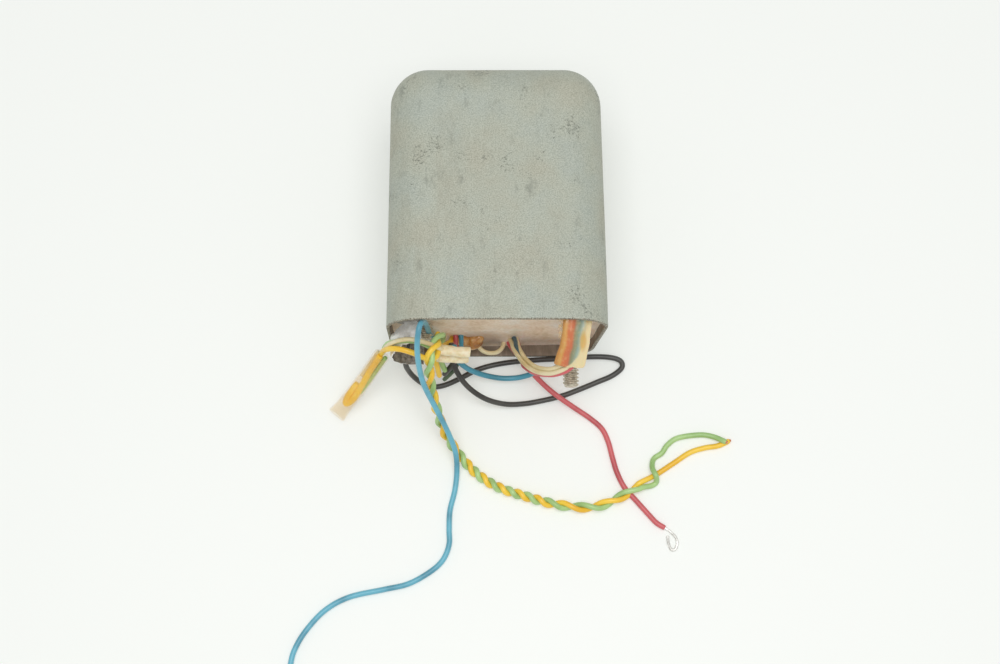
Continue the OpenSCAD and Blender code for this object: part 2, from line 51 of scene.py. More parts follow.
# The leads' routes, in metres, as they lie in the CAD model
routes = {
    "blue": [
        (-0.0194, -0.027, 0.006), (-0.0195, -0.0286, 0.011), (-0.0197, -0.0294, 0.02),
        (-0.02, -0.0297, 0.03), (-0.0204, -0.0304, 0.038), (-0.0209, -0.0318, 0.0436),
        (-0.0216, -0.0342, 0.0452), (-0.0222, -0.038, 0.0414), (-0.022, -0.042, 0.034),
        (-0.0208, -0.046, 0.027), (-0.0182, -0.0502, 0.0195), (-0.015, -0.0555, 0.0125),
        (-0.0125, -0.061, 0.0065), (-0.012, -0.0662, 0.0024), (-0.0126, -0.072, 0.0008),
        (-0.014, -0.078, 0.0008), (-0.0142, -0.0835, 0.0008), (-0.0142, -0.088, 0.0008),
        (-0.016, -0.0925, 0.0008), (-0.0198, -0.096, 0.0008), (-0.026, -0.0994, 0.0008),
        (-0.033, -0.101, 0.0008), (-0.043, -0.1032, 0.0008), (-0.05, -0.107, 0.0008),
        (-0.0555, -0.113, 0.0008), (-0.0585, -0.1183, 0.0008), (-0.0595, -0.1223, 0.0008),
        (-0.06, -0.128, 0.0008), (-0.06, -0.134, 0.0008),
    ],
    "blueBare": [
        (-0.06, -0.134, 0.0008), (-0.0599, -0.137, 0.0008), (-0.0596, -0.14, 0.0008),
    ],
    "black": [
        (-0.0135, -0.031, 0.016), (-0.0133, -0.035, 0.014), (-0.0119, -0.0386, 0.011),
        (-0.0087, -0.0424, 0.008), (-0.0037, -0.0453, 0.005), (0.0022, -0.0464, 0.0024),
        (0.008, -0.046, 0.001), (0.014, -0.0449, 0.0008), (0.0192, -0.0436, 0.0008),
        (0.024, -0.0418, 0.0008), (0.0295, -0.0395, 0.0008), (0.0343, -0.0374, 0.0008),
        (0.0372, -0.035, 0.0008), (0.0369, -0.0329, 0.0008), (0.0338, -0.0318, 0.0008),
        (0.028, -0.0316, 0.0008), (0.0187, -0.0322, 0.0008), (0.0112, -0.0326, 0.0008),
        (0.0037, -0.0333, 0.0008), (-0.0023, -0.0344, 0.0008), (-0.0068, -0.0359, 0.0008),
        (-0.0113, -0.0383, 0.0008), (-0.0158, -0.0403, 0.0008), (-0.0196, -0.0409, 0.0014),
        (-0.0232, -0.0399, 0.004), (-0.026, -0.038, 0.0085), (-0.027, -0.0362, 0.013),
        (-0.0264, -0.033, 0.016), (-0.0256, -0.027, 0.0166),
    ],
    "teal": [
        (-0.0126, -0.032, 0.017), (-0.0124, -0.0346, 0.014), (-0.0096, -0.0366, 0.009),
        (-0.0052, -0.0378, 0.005), (0.0005, -0.0386, 0.003), (0.0052, -0.0386, 0.003),
        (0.0086, -0.0382, 0.0044), (0.0104, -0.0378, 0.006), (0.0112, -0.0376, 0.0076),
    ],
    "red": [
        (0.003, -0.027, 0.005), (0.0036, -0.0292, 0.007), (0.005, -0.0314, 0.008),
        (0.0066, -0.0334, 0.0076), (0.0088, -0.0359, 0.0062), (0.0114, -0.0386, 0.0046),
        (0.015, -0.0418, 0.003), (0.0186, -0.0446, 0.0026), (0.0231, -0.0475, 0.0014),
        (0.0275, -0.0504, 0.0008), (0.031, -0.0536, 0.0008), (0.0328, -0.0575, 0.0008),
        (0.034, -0.0623, 0.0008), (0.0353, -0.0668, 0.0008), (0.0375, -0.0713, 0.0008),
        (0.0407, -0.075, 0.0008), (0.0442, -0.079, 0.0008), (0.0466, -0.0816, 0.0008),
        (0.049, -0.0831, 0.0008),
    ],
    "eye": [
        (0.049, -0.0831, 0.0008), (0.0504, -0.084, 0.0007), (0.052, -0.0856, 0.0006),
        (0.0526, -0.0874, 0.0006), (0.052, -0.0892, 0.0006), (0.0508, -0.0894, 0.0006),
        (0.05, -0.0876, 0.0006), (0.0498, -0.0854, 0.0008),
    ],
    "pair": [
        (-0.0162, -0.031, 0.027), (-0.0174, -0.0346, 0.031), (-0.0187, -0.0372, 0.032),
        (-0.0193, -0.0398, 0.0305), (-0.0194, -0.0423, 0.0265), (-0.019, -0.0456, 0.0195),
        (-0.0176, -0.0503, 0.012), (-0.0158, -0.0552, 0.0064), (-0.0126, -0.06, 0.0028),
        (-0.0092, -0.0641, 0.0016), (-0.0052, -0.0679, 0.0016), (0.0007, -0.0714, 0.0016),
        (0.008, -0.0738, 0.0016), (0.0154, -0.0759, 0.0016), (0.0227, -0.077, 0.0016),
        (0.0286, -0.077, 0.0016), (0.0336, -0.0753, 0.0016), (0.0389, -0.0726, 0.0016),
        (0.0434, -0.0699, 0.0016),
    ],
    "yellowTail": [
        (0.0434, -0.0699, 0.0016), (0.047, -0.0672, 0.0009), (0.0525, -0.0636, 0.0008),
        (0.057, -0.0607, 0.0008), (0.0615, -0.0593, 0.0008), (0.0653, -0.0587, 0.0008),
        (0.0687, -0.0572, 0.0008),
    ],
    "greenTail": [
        (0.0434, -0.0699, 0.0016), (0.0454, -0.0706, 0.0008), (0.0468, -0.0696, 0.0008),
        (0.0466, -0.068, 0.0026), (0.0456, -0.0654, 0.002), (0.0462, -0.0626, 0.0008),
        (0.0486, -0.0609, 0.0008), (0.0504, -0.0584, 0.0008), (0.0536, -0.0563, 0.0008),
        (0.06, -0.0554, 0.0008), (0.064, -0.056, 0.001), (0.0676, -0.0578, 0.0022),
    ],
    "clear": [
        (-0.0336, -0.0354, 0.019), (-0.0404, -0.0424, 0.01), (-0.0478, -0.0498, 0.0028),
    ],
    "yellowFold": [
        (-0.0165, -0.034, 0.027), (-0.0175, -0.0384, 0.029), (-0.0205, -0.039, 0.0312),
        (-0.0238, -0.038, 0.033), (-0.0271, -0.037, 0.033), (-0.0298, -0.0364, 0.0314),
        (-0.0316, -0.0358, 0.028), (-0.0328, -0.0352, 0.0235), (-0.0336, -0.035, 0.0194),
    ],
    "greenFold": [
        (-0.0165, -0.0358, 0.024), (-0.0183, -0.0356, 0.028), (-0.0219, -0.0349, 0.0324),
        (-0.025, -0.0346, 0.0332), (-0.0286, -0.0344, 0.0318), (-0.0312, -0.034, 0.028),
        (-0.0328, -0.034, 0.022),
    ],
    "creamArch": [
        (-0.0155, -0.0358, 0.0275), (-0.0196, -0.0352, 0.033), (-0.0238, -0.0346, 0.035),
        (-0.0268, -0.0346, 0.0346), (-0.0294, -0.0348, 0.0324), (-0.0316, -0.035, 0.028),
        (-0.033, -0.0352, 0.022),
    ],
    "creamLoop": [
        (-0.0064, -0.027, 0.006), (-0.0056, -0.03, 0.0075), (-0.0043, -0.0315, 0.008),
        (-0.0023, -0.032, 0.0075), (0.0001, -0.0315, 0.007), (0.0016, -0.0296, 0.0064),
        (0.002, -0.027, 0.006),
    ],
    "bundle": [
        (0.0043, -0.027, 0.0065), (0.005, -0.0296, 0.01), (0.0053, -0.0316, 0.0128),
        (0.0063, -0.0344, 0.0164), (0.0077, -0.0374, 0.0204), (0.0093, -0.0398, 0.024),
        (0.0111, -0.0415, 0.027), (0.013, -0.0425, 0.0294), (0.015, -0.043, 0.0314),
        (0.017, -0.0428, 0.033), (0.0188, -0.0422, 0.0344), (0.02, -0.0412, 0.0354),
    ],
    "wide": [
        (0.0224, -0.027, 0.0416), (0.0222, -0.031, 0.0414), (0.0215, -0.0365, 0.0388),
        (0.02, -0.042, 0.0348),
    ],
    "creamUpper": [
        (-0.0172, -0.0354, 0.0272), (-0.0125, -0.036, 0.0264), (-0.0079, -0.036, 0.0254),
    ],
    "creamLower": [
        (-0.0174, -0.0368, 0.0234), (-0.013, -0.037, 0.0226), (-0.0085, -0.0368, 0.0218),
    ],
    "yellowStub": [
        (-0.0182, -0.0346, 0.0204), (-0.0182, -0.036, 0.0186), (-0.0176, -0.038, 0.016),
        (-0.017, -0.04, 0.012),
    ],
    "greenStub": [
        (-0.0166, -0.0336, 0.018), (-0.0164, -0.0362, 0.0144), (-0.0154, -0.0382, 0.011),
    ],
    "blackStub": [
        (-0.012, -0.0346, 0.0156), (-0.0134, -0.0368, 0.0124), (-0.0158, -0.0389, 0.009),
    ],
    "darkGreenStub": [
        (-0.0112, -0.035, 0.0114), (-0.013, -0.0374, 0.008), (-0.016, -0.0398, 0.0056),
    ],
    "greenRiser": [
        (-0.016, -0.027, 0.011), (-0.0161, -0.0304, 0.015), (-0.016, -0.0336, 0.019),
    ],
    "yellowRiser": [
        (-0.0132, -0.027, 0.008), (-0.014, -0.0294, 0.011), (-0.0152, -0.0314, 0.0156),
        (-0.0156, -0.0332, 0.021),
    ],
}


def srgb(hexText):
    parts = [int(hexText[i:i + 2], 16) / 255 for i in (1, 3, 5)]
    linear = [p / 12.92 if p <= 0.04045 else ((p + 0.055) / 1.055) ** 2.4 for p in parts]
    return (*linear, 1.0)


def addNode(tree, kind, settings=None, links=None):
    node = tree.nodes.new(kind)
    for key, value in (settings or {}).items():
        if key == "stops":  # a colour ramp's own points: place, hex colour or grey level
            ramp = node.color_ramp
            for number, (place, tone) in enumerate(value):
                stop = ramp.elements[number] if number < 2 else ramp.elements.new(place)
                stop.position = place
                stop.color = srgb(tone) if isinstance(tone, str) else (tone, tone, tone, 1)
        elif isinstance(key, int) or key in node.inputs:
            node.inputs[key].default_value = value
        else:
            setattr(node, key, value)
    for key, socket in (links or {}).items():
        tree.links.new(socket, node.inputs[key])
    return node


def newMaterial(name, settings):
    material = bpy.data.materials.new(name)
    material.use_nodes = True
    tree = material.node_tree
    shader = tree.nodes["Principled BSDF"]
    for key, value in settings.items():
        shader.inputs[key].default_value = value
    place = addNode(tree, "ShaderNodeTexCoord")
    return material, tree, shader, place


def perMetre(sizeInMm):
    return 1 / (sizeInMm * millimetre)  # a pattern's scale from the real size of its features


def mixColour(tree, factor, first, second, how="MIX"):
    settings = {"data_type": "RGBA", "blend_type": how}
    links = {}
    for key, value in ((0, factor), (6, first), (7, second)):
        if isinstance(value, bpy.types.NodeSocket):
            links[key] = value
        else:
            settings[key] = value
    return addNode(tree, "ShaderNodeMix", settings, links).outputs[2]


def onlySelect(thing):
    if bpy.context.mode != "OBJECT":
        bpy.ops.object.mode_set(mode="OBJECT")
    bpy.ops.object.select_all(action="DESELECT")
    thing.select_set(True)
    bpy.context.view_layer.objects.active = thing


def selectFaces(thing, wanted):
    # Selects the faces whose middle and normal the test accepts, in edit mode
    bpy.ops.object.mode_set(mode="EDIT")
    bpy.ops.mesh.select_mode(type="FACE")
    bpy.ops.mesh.select_all(action="DESELECT")
    shape = bmesh.from_edit_mesh(thing.data)
    for face in shape.faces:
        face.select_set(wanted(face.calc_center_median(), face.normal))
    bmesh.update_edit_mesh(thing.data)


def selectEdges(thing, wanted):
    # Selects the edges whose two ends the test accepts, in edit mode
    bpy.ops.object.mode_set(mode="EDIT")
    bpy.ops.mesh.select_mode(type="EDGE")
    bpy.ops.mesh.select_all(action="DESELECT")
    shape = bmesh.from_edit_mesh(thing.data)
    for edge in shape.edges:
        edge.select_set(wanted(edge.verts[0].co, edge.verts[1].co))
    bmesh.update_edit_mesh(thing.data)


def cutAt(axis, places):
    # Cuts the whole mesh by planes across one axis
    for place in places:
        bpy.ops.mesh.select_all(action="SELECT")
        point = [place if k == axis else 0 for k in range(3)]
        normal = [1 if k == axis else 0 for k in range(3)]
        bpy.ops.mesh.bisect(plane_co=point, plane_no=normal)


def applyModifier(thing, kind, settings):
    onlySelect(thing)
    modifier = thing.modifiers.new(kind.title(), kind)
    for key, value in settings.items():
        setattr(modifier, key, value)
    bpy.ops.object.modifier_apply(modifier=modifier.name)


def smoothShade(thing, degrees=40):
    onlySelect(thing)
    bpy.ops.object.shade_smooth_by_angle(angle=math.radians(degrees))


def finishPiece(thing, name, materials, replaced=()):
    thing.name = name
    thing.data.name = name
    onlySelect(thing)
    bpy.ops.object.transform_apply(location=True, rotation=True, scale=True)
    for material in materials:
        thing.data.materials.append(material)
    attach(thing, "root")
    if replaced:
        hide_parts(*replaced)
    return thing


def smoothRoute(points, step):
    # One smooth curve through the points, with places step apart along it
    p = np.array(points, float)
    p = np.vstack([2 * p[0] - p[1], p, 2 * p[-1] - p[-2]])
    fine = []
    for a, b, c, d in zip(p, p[1:], p[2:], p[3:]):
        for t in np.linspace(0, 1, 20, endpoint=False):
            fine.append(0.5 * (2 * b + (c - a) * t + (2 * a - 5 * b + 4 * c - d) * t**2
                               + (3 * b - a - 3 * c + d) * t**3))
    fine = np.array([*fine, p[-2]])
    run = np.concatenate([[0], np.cumsum(np.linalg.norm(np.diff(fine, axis=0), axis=1))])
    at = np.linspace(0, run[-1], max(3, round(run[-1] / step) + 1))
    return np.column_stack([np.interp(at, run, fine[:, k]) for k in range(3)])


def carriedSides(path):
    # Two side directions at each place, which don't twist as they go along the path
    ahead = np.gradient(path, axis=0)
    ahead /= np.linalg.norm(ahead, axis=1)[:, None]
    side = np.array([0.3, 0.2, 1.0])
    sides = []
    for t in ahead:
        side = side - (side @ t) * t
        side /= np.linalg.norm(side)
        sides.append(side)
    sides = np.array(sides)
    return sides, np.cross(ahead, sides)


def meshFrom(name, points, faces, uvAt):
    mesh = bpy.data.meshes.new(name)
    mesh.from_pydata([tuple(p) for p in points], [], faces)
    layer = mesh.uv_layers.new(name="along")
    for loop in mesh.loops:
        layer.data[loop.index].uv = uvAt[loop.vertex_index]
    thing = bpy.data.objects.new(name, mesh)
    bpy.context.scene.collection.objects.link(thing)
    return thing


def tube(name, path, diameter, bore=0.0, corners=20, outline=None, ends=0.86):
    # A closed tube. bore is the hole's diameter, outline gives the radius's two factors at a
    # place on the tube, and ends is how much of the radius the first and last ring keep
    sides, ups = carriedSides(path)
    run = np.concatenate([[0], np.cumsum(np.linalg.norm(np.diff(path, axis=0), axis=1))])
    radius = np.full(len(path), diameter / 2)
    radius[0] *= ends
    radius[-1] *= ends
    layers = [(i, radius[i]) for i in range(len(path))]
    if bore:
        layers += [(i, bore / 2) for i in reversed(range(len(path)))]
    points, uvAt = [], []
    for i, r in layers:
        for k in range(corners):
            angle = 2 * math.pi * k / corners
            across, high = (1, 1) if outline is None else outline(run[i] / run[-1], angle)
            offset = math.cos(angle) * high * sides[i] + math.sin(angle) * across * ups[i]
            points.append(path[i] + r * offset)
            uvAt.append((k / corners, run[i] / millimetre))
    rows = len(layers)
    faces = []
    for i in range(rows if bore else rows - 1):
        j = (i + 1) % rows
        for k in range(corners):
            n = (k + 1) % corners
            faces.append((i * corners + k, i * corners + n, j * corners + n, j * corners + k))
    if not bore:
        faces.append(tuple(reversed(range(corners))))
        faces.append(tuple((rows - 1) * corners + k for k in range(corners)))
    thing = meshFrom(name, points, faces, uvAt)
    smoothShade(thing, 50)
    return thing


def mottled(name, finish, cloud, stops, relief, gloss=None, stretch=(1, 1, 1)):
    # One noise gives the tone, the relief and, with gloss, the roughness
    grain, detail, harshness = cloud  # size in mm, levels, share of the fine levels
    strength, depth = relief  # share, and depth in mm
    material, tree, shader, place = newMaterial(name, finish)
    drawn = addNode(tree, "ShaderNodeMapping", {"Scale": stretch}, {"Vector": place.outputs["Object"]})
    spots = addNode(tree, "ShaderNodeTexNoise",
                    {"Scale": perMetre(grain), "Detail": detail, "Roughness": harshness},
                    {"Vector": drawn.outputs[0]})
    tone = addNode(tree, "ShaderNodeValToRGB", {"stops": stops}, {"Fac": spots.outputs["Fac"]})
    tree.links.new(tone.outputs[0], shader.inputs["Base Color"])
    bump = addNode(tree, "ShaderNodeBump", {"Strength": strength, "Distance": depth * millimetre},
                   {"Height": spots.outputs["Fac"]})
    tree.links.new(bump.outputs[0], shader.inputs["Normal"])
    if gloss:
        dull = addNode(tree, "ShaderNodeMapRange", {"To Min": gloss[0], "To Max": gloss[1]},
                       {"Value": spots.outputs["Fac"]})
        tree.links.new(dull.outputs[0], shader.inputs["Roughness"])
    return material


def layered(name, finish, pitch, direction, stops, relief):
    # Even lines, pitch mm apart, as of stacked sheets or wound turns
    strength, depth = relief
    material, tree, shader, place = newMaterial(name, finish)
    lines = addNode(tree, "ShaderNodeTexWave",
                    {"Scale": wavePeriod * perMetre(pitch), "bands_direction": direction},
                    {"Vector": place.outputs["Object"]})
    tone = addNode(tree, "ShaderNodeValToRGB", {"stops": stops}, {"Fac": lines.outputs["Fac"]})
    tree.links.new(tone.outputs[0], shader.inputs["Base Color"])
    bump = addNode(tree, "ShaderNodeBump", {"Strength": strength, "Distance": depth * millimetre},
                   {"Height": lines.outputs["Fac"]})
    tree.links.new(bump.outputs[0], shader.inputs["Normal"])
    return material


def metal(name, tones, grain, roughness, depth, metallic=0.6):
    # tones: dirt in the hollows, the plating's own colour, and where it is rubbed bright; on the crumpled
    # tin the brightest tone is partly a painted highlight
    return mottled(name, {"Metallic": metallic, "Roughness": roughness}, (grain, 6, 0.7),
                   [(0.3, tones[0]), (0.5, tones[1]), (0.72, tones[2])], (0.5, depth),
                   gloss=(roughness + 0.12, roughness - 0.1))


def stoveEnamel():
    # Grey-green stove enamel, sprayed on steel: matte, a little orange peel, dark pinprick chips
    material, tree, shader, place = newMaterial("stove enamel", {"Roughness": 0.6, "IOR": 1.5})
    at = place.outputs["Object"]
    cloud = addNode(tree, "ShaderNodeTexNoise", {"Scale": perMetre(14), "Detail": 4}, {"Vector": at})
    base = addNode(tree, "ShaderNodeValToRGB",
                   {"stops": [(0.32, "#a9b2aa"), (0.5, "#b0b4a5"), (0.68, "#b0ad9a")]},
                   {"Fac": cloud.outputs["Fac"]})
    grit = addNode(tree, "ShaderNodeTexNoise", {"Scale": perMetre(0.34), "Detail": 2}, {"Vector": at})
    fleck = addNode(tree, "ShaderNodeValToRGB",
                    {"stops": [(0.34, "#868c80"), (0.5, "#b0b4a6"), (0.68, "#c9ccc0")]},
                    {"Fac": grit.outputs["Fac"]})
    speckled = mixColour(tree, 0.48, base.outputs[0], fleck.outputs[0])
    # Pinpricks through the paint gather in patches about a centimetre across
    patch = addNode(tree, "ShaderNodeTexNoise", {"Scale": perMetre(10), "Detail": 3}, {"Vector": at})
    spot = addNode(tree, "ShaderNodeTexNoise", {"Scale": perMetre(0.8), "Detail": 8, "Roughness": 0.8},
                   {"Vector": at})
    edge = addNode(tree, "ShaderNodeMapRange",
                   {"From Min": 0.4, "From Max": 0.68, "To Min": 0.72, "To Max": 0.535},
                   {"Value": patch.outputs["Fac"]})
    over = addNode(tree, "ShaderNodeMath", {"operation": "SUBTRACT"},
                   {0: spot.outputs["Fac"], 1: edge.outputs[0]})
    chip = addNode(tree, "ShaderNodeMapRange", {"From Min": 0.0, "From Max": 0.035, "To Max": 0.8},
                   {"Value": over.outputs[0]})
    chipped = mixColour(tree, chip.outputs[0], speckled, srgb("#6a6e64"))
    # A few places are scuffed in short dark marks
    bent = addNode(tree, "ShaderNodeMapping", {"Scale": (1, 0.5, 1), "Rotation": (0, 0, 0.35)},
                   {"Vector": at})
    scuff = addNode(tree, "ShaderNodeTexNoise", {"Scale": perMetre(4.5), "Detail": 9, "Roughness": 0.75},
                    {"Vector": bent.outputs[0]})
    scuffed = addNode(tree, "ShaderNodeMapRange", {"From Min": 0.57, "From Max": 0.7, "To Max": 0.6},
                      {"Value": scuff.outputs["Fac"]})
    marked = mixColour(tree, scuffed.outputs[0], chipped, srgb("#767a70"))
    # Handling has left faint brown dirt, in streaks along the can and more on its left
    drawn = addNode(tree, "ShaderNodeMapping", {"Scale": (1, 0.3, 1)}, {"Vector": at})
    dirt = addNode(tree, "ShaderNodeTexNoise", {"Scale": perMetre(7), "Detail": 8, "Roughness": 0.7},
                   {"Vector": drawn.outputs[0]})
    dirty = addNode(tree, "ShaderNodeMapRange", {"From Min": 0.5, "From Max": 0.74, "To Max": 0.55},
                    {"Value": dirt.outputs["Fac"]})
    axes = addNode(tree, "ShaderNodeSeparateXYZ", links={"Vector": at})
    leftward = addNode(tree, "ShaderNodeMapRange",
                       {"From Min": 0.012, "From Max": -0.022, "To Min": 0.3, "To Max": 0.75},
                       {"Value": axes.outputs["X"]})
    share = addNode(tree, "ShaderNodeMath", {"operation": "MULTIPLY"},
                    {0: dirty.outputs[0], 1: leftward.outputs[0]})
    soiled = mixColour(tree, share.outputs[0], marked, srgb("#938f7e"))
    # The paint is thin and rubbed along the last half millimetre of the rim
    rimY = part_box("can")[0].y
    ragged = addNode(tree, "ShaderNodeMath", {"operation": "MULTIPLY_ADD", 1: 0.002, 2: rimY - 0.0007},
                     {0: spot.outputs["Fac"]})
    worn = addNode(tree, "ShaderNodeMath", {"operation": "LESS_THAN"},
                   {0: axes.outputs["Y"], 1: ragged.outputs[0]})
    bare = addNode(tree, "ShaderNodeValToRGB", {"stops": [(0.42, "#6a6557"), (0.66, "#b8b19f")]},
                   {"Fac": grit.outputs["Fac"]})
    rubbed = mixColour(tree, worn.outputs[0], soiled, bare.outputs[0])
    tree.links.new(rubbed, shader.inputs["Base Color"])
    peel = addNode(tree, "ShaderNodeBump", {"Strength": 0.25, "Distance": 0.00005},
                   {"Height": grit.outputs["Fac"]})
    pits = addNode(tree, "ShaderNodeBump", {"Strength": 0.5, "Distance": 0.0001, "invert": True},
                   {"Height": chip.outputs[0], "Normal": peel.outputs[0]})
    tree.links.new(pits.outputs[0], shader.inputs["Normal"])
    gloss = addNode(tree, "ShaderNodeMapRange", {"To Min": 0.52, "To Max": 0.68},
                    {"Value": cloud.outputs["Fac"]})
    tree.links.new(gloss.outputs[0], shader.inputs["Roughness"])
    return material


def castResin():
    # Filled polyester potting resin, cast: pinkish beige, chalky, browner low down, with dark brown flux
    # round the wax and painted shade behind the cream loop
    material, tree, shader, place = newMaterial(
        "cast resin", {"Roughness": 0.55, "IOR": 1.5, "Subsurface Weight": 0.08,
                       "Subsurface Scale": 0.001})
    at = place.outputs["Object"]
    cloud = addNode(tree, "ShaderNodeTexNoise", {"Scale": perMetre(9), "Detail": 5, "Roughness": 0.6},
                    {"Vector": at})
    tone = addNode(tree, "ShaderNodeValToRGB",
                   {"stops": [(0.3, "#dcbc94"), (0.47, "#f8e0c8"), (0.64, "#fff4e8")]},
                   {"Fac": cloud.outputs["Fac"]})
    fine = addNode(tree, "ShaderNodeTexNoise", {"Scale": perMetre(0.9), "Detail": 4}, {"Vector": at})
    dust = addNode(tree, "ShaderNodeValToRGB", {"stops": [(0.35, "#d2b898"), (0.65, "#fff2e4")]},
                   {"Fac": fine.outputs["Fac"]})
    chalky = mixColour(tree, 0.3, tone.outputs[0], dust.outputs[0])
    # The face turns darker and browner towards the bottom, below 13 mm, in patches that follow the cloud
    axes = addNode(tree, "ShaderNodeSeparateXYZ", links={"Vector": at})
    low = addNode(tree, "ShaderNodeMapRange",
                  {"From Min": 0.013, "From Max": 0.003, "To Min": 0.0, "To Max": 0.65},
                  {"Value": axes.outputs["Z"]})
    darkened = addNode(tree, "ShaderNodeMath", {"operation": "MULTIPLY"},
                      {0: low.outputs[0], 1: cloud.outputs["Fac"]})
    warm = mixColour(tree, darkened.outputs[0], chalky, srgb("#9c7a56"))
    # Dark brown round the wax and behind the cream loop: flux round the wax, and painted shade behind the
    # cream loop
    away = addNode(tree, "ShaderNodeVectorMath", {"operation": "DISTANCE", 1: (-0.004, -0.0275, 0.008)},
                   {0: at})
    pool = addNode(tree, "ShaderNodeMapRange", {"From Min": 0.0085, "From Max": 0.003, "To Max": 1.0},
                   {"Value": away.outputs["Value"]})
    fluxAndPaintedShade = addNode(tree, "ShaderNodeMath", {"operation": "MULTIPLY"},
                    {0: pool.outputs[0], 1: cloud.outputs["Fac"]})
    tree.links.new(mixColour(tree, fluxAndPaintedShade.outputs[0], warm, srgb("#6b4429")), shader.inputs["Base Color"])
    bump = addNode(tree, "ShaderNodeBump", {"Strength": 0.35, "Distance": 0.00015},
                   {"Height": fine.outputs["Fac"]})
    tree.links.new(bump.outputs[0], shader.inputs["Normal"])
    return material


# Soft PVC insulation, extruded: satin, faintly mottled, with a little handling dirt
insulationTones = {
    "blue": {"main": "#6cb8ce", "deep": "#589ab0", "dirt": "#6f8f96"},
    "teal": {"main": "#4e9db6", "deep": "#42879c", "dirt": "#45707d"},
    "black": {"main": "#4b4a47", "deep": "#3a3836", "dirt": "#57504a"},
    "red": {"main": "#d46468", "deep": "#be5258", "dirt": "#a1606a"},
    "yellow": {"main": "#ffd548", "deep": "#f3bd30", "dirt": "#c99a3f"},
    "green": {"main": "#b4d790", "deep": "#97bd74", "dirt": "#87966a"},
    "darkGreen": {"main": "#56694f", "deep": "#3d4d3a", "dirt": "#6a6a52"},
    "cream": {"main": "#e9ddb6", "deep": "#d8c48f", "dirt": "#b99a5e"},
    "darkBlue": {"main": "#41697c", "deep": "#30515f", "dirt": "#5b6a6b"},
}


def insulation(tone):
    colours = insulationTones[tone]
    material, tree, shader, place = newMaterial(
        f"pvc insulation {tone}", {"Roughness": 0.38, "IOR": 1.53, "Coat Weight": 0.12,
                                   "Coat Roughness": 0.3})
    at = place.outputs["Object"]
    fade = addNode(tree, "ShaderNodeTexNoise", {"Scale": perMetre(7), "Detail": 3}, {"Vector": at})
    body = addNode(tree, "ShaderNodeValToRGB",
                   {"stops": [(0.35, colours["deep"]), (0.58, colours["main"])]},
                   {"Fac": fade.outputs["Fac"]})
    grime = addNode(tree, "ShaderNodeTexNoise", {"Scale": perMetre(1.6), "Detail": 6, "Roughness": 0.7},
                    {"Vector": at})
    spots = addNode(tree, "ShaderNodeMapRange", {"From Min": 0.6, "From Max": 0.78, "To Max": 0.55},
                    {"Value": grime.outputs["Fac"]})
    tree.links.new(mixColour(tree, spots.outputs[0], body.outputs[0], srgb(colours["dirt"])),
                   shader.inputs["Base Color"])
    # Soft lines run along the wire from the extruder's die, about six round it
    lines = addNode(tree, "ShaderNodeTexWave",
                    {"Scale": 1.9, "bands_direction": "X", "Distortion": 0.6, "Detail": 1},
                    {"Vector": place.outputs["UV"]})
    bump = addNode(tree, "ShaderNodeBump", {"Strength": 0.12, "Distance": 0.00004},
                   {"Height": lines.outputs["Fac"]})
    dents = addNode(tree, "ShaderNodeBump", {"Strength": 0.2, "Distance": 0.0001},
                    {"Height": grime.outputs["Fac"], "Normal": bump.outputs[0]})
    tree.links.new(dents.outputs[0], shader.inputs["Normal"])
    return material


def agedSleeve():
    # Aged clear PVC sleeve round four wires: glossy, amber, the wires show as soft bands
    material, tree, shader, place = newMaterial(
        "aged sleeve over wires", {"Roughness": 0.34, "IOR": 1.5, "Coat Weight": 0.3,
                                   "Coat Roughness": 0.12, "Subsurface Weight": 0.15,
                                   "Subsurface Scale": 0.001})
    at = place.outputs["Object"]
    across = addNode(tree, "ShaderNodeAttribute", {"attribute_name": "bandPlace"})
    wander = addNode(tree, "ShaderNodeTexNoise", {"Scale": perMetre(5), "Detail": 2}, {"Vector": at})
    shifted = addNode(tree, "ShaderNodeMath", {"operation": "MULTIPLY_ADD", 1: 0.08},
                      {0: wander.outputs["Fac"], 2: across.outputs["Fac"]})
    bands = addNode(tree, "ShaderNodeValToRGB",
                    {"stops": [(0.0, "#c48c4a"), (0.1, "#d6a257"), (0.19, "#d2784a"), (0.35, "#cd7551"),
                               (0.43, "#8f8a69"), (0.53, "#8f9e86"), (0.63, "#a5b7aa"), (0.71, "#c8c29c"),
                               (0.79, "#ecd3a0"), (1.0, "#eec788")]},
                    {"Fac": shifted.outputs[0]})
    haze = addNode(tree, "ShaderNodeTexNoise", {"Scale": perMetre(1.4), "Detail": 6, "Roughness": 0.65},
                   {"Vector": at})
    cloudy = addNode(tree, "ShaderNodeMapRange", {"From Min": 0.5, "From Max": 0.85, "To Max": 0.5},
                     {"Value": haze.outputs["Fac"]})
    hazy = mixColour(tree, cloudy.outputs[0], bands.outputs[0], srgb("#e6c78c"))
    # Past the last wire the empty sleeve is a pale yellow skirt, cut on the slant
    past = addNode(tree, "ShaderNodeAttribute", {"attribute_name": "skirtPlace"})
    skirt = addNode(tree, "ShaderNodeMapRange", {"From Min": -0.03, "From Max": 0.05, "To Max": 0.85},
                    {"Value": past.outputs["Fac"]})
    skirted = mixColour(tree, skirt.outputs[0], hazy, srgb("#f3e0ae"))
    # A patch of dried varnish, three times as long as wide, shows deeper yellow on its right
    place, squeeze = Vector((0.0238, -0.0363, 0.0397)), Vector((1, 0.35, 0.35))
    drawn = addNode(tree, "ShaderNodeVectorMath", {"operation": "MULTIPLY", 1: squeeze}, {0: at})
    away = addNode(tree, "ShaderNodeVectorMath", {"operation": "DISTANCE", 1: place * squeeze},
                   {0: drawn.outputs[0]})
    patch = addNode(tree, "ShaderNodeMapRange", {"From Min": 0.0013, "From Max": 0.0006, "To Max": 0.75},
                    {"Value": away.outputs["Value"]})
    tree.links.new(mixColour(tree, patch.outputs[0], skirted, srgb("#dcab50")), shader.inputs["Base Color"])
    bump = addNode(tree, "ShaderNodeBump", {"Strength": 0.3, "Distance": 0.0001},
                   {"Height": haze.outputs["Fac"]})
    tree.links.new(bump.outputs[0], shader.inputs["Normal"])
    return material


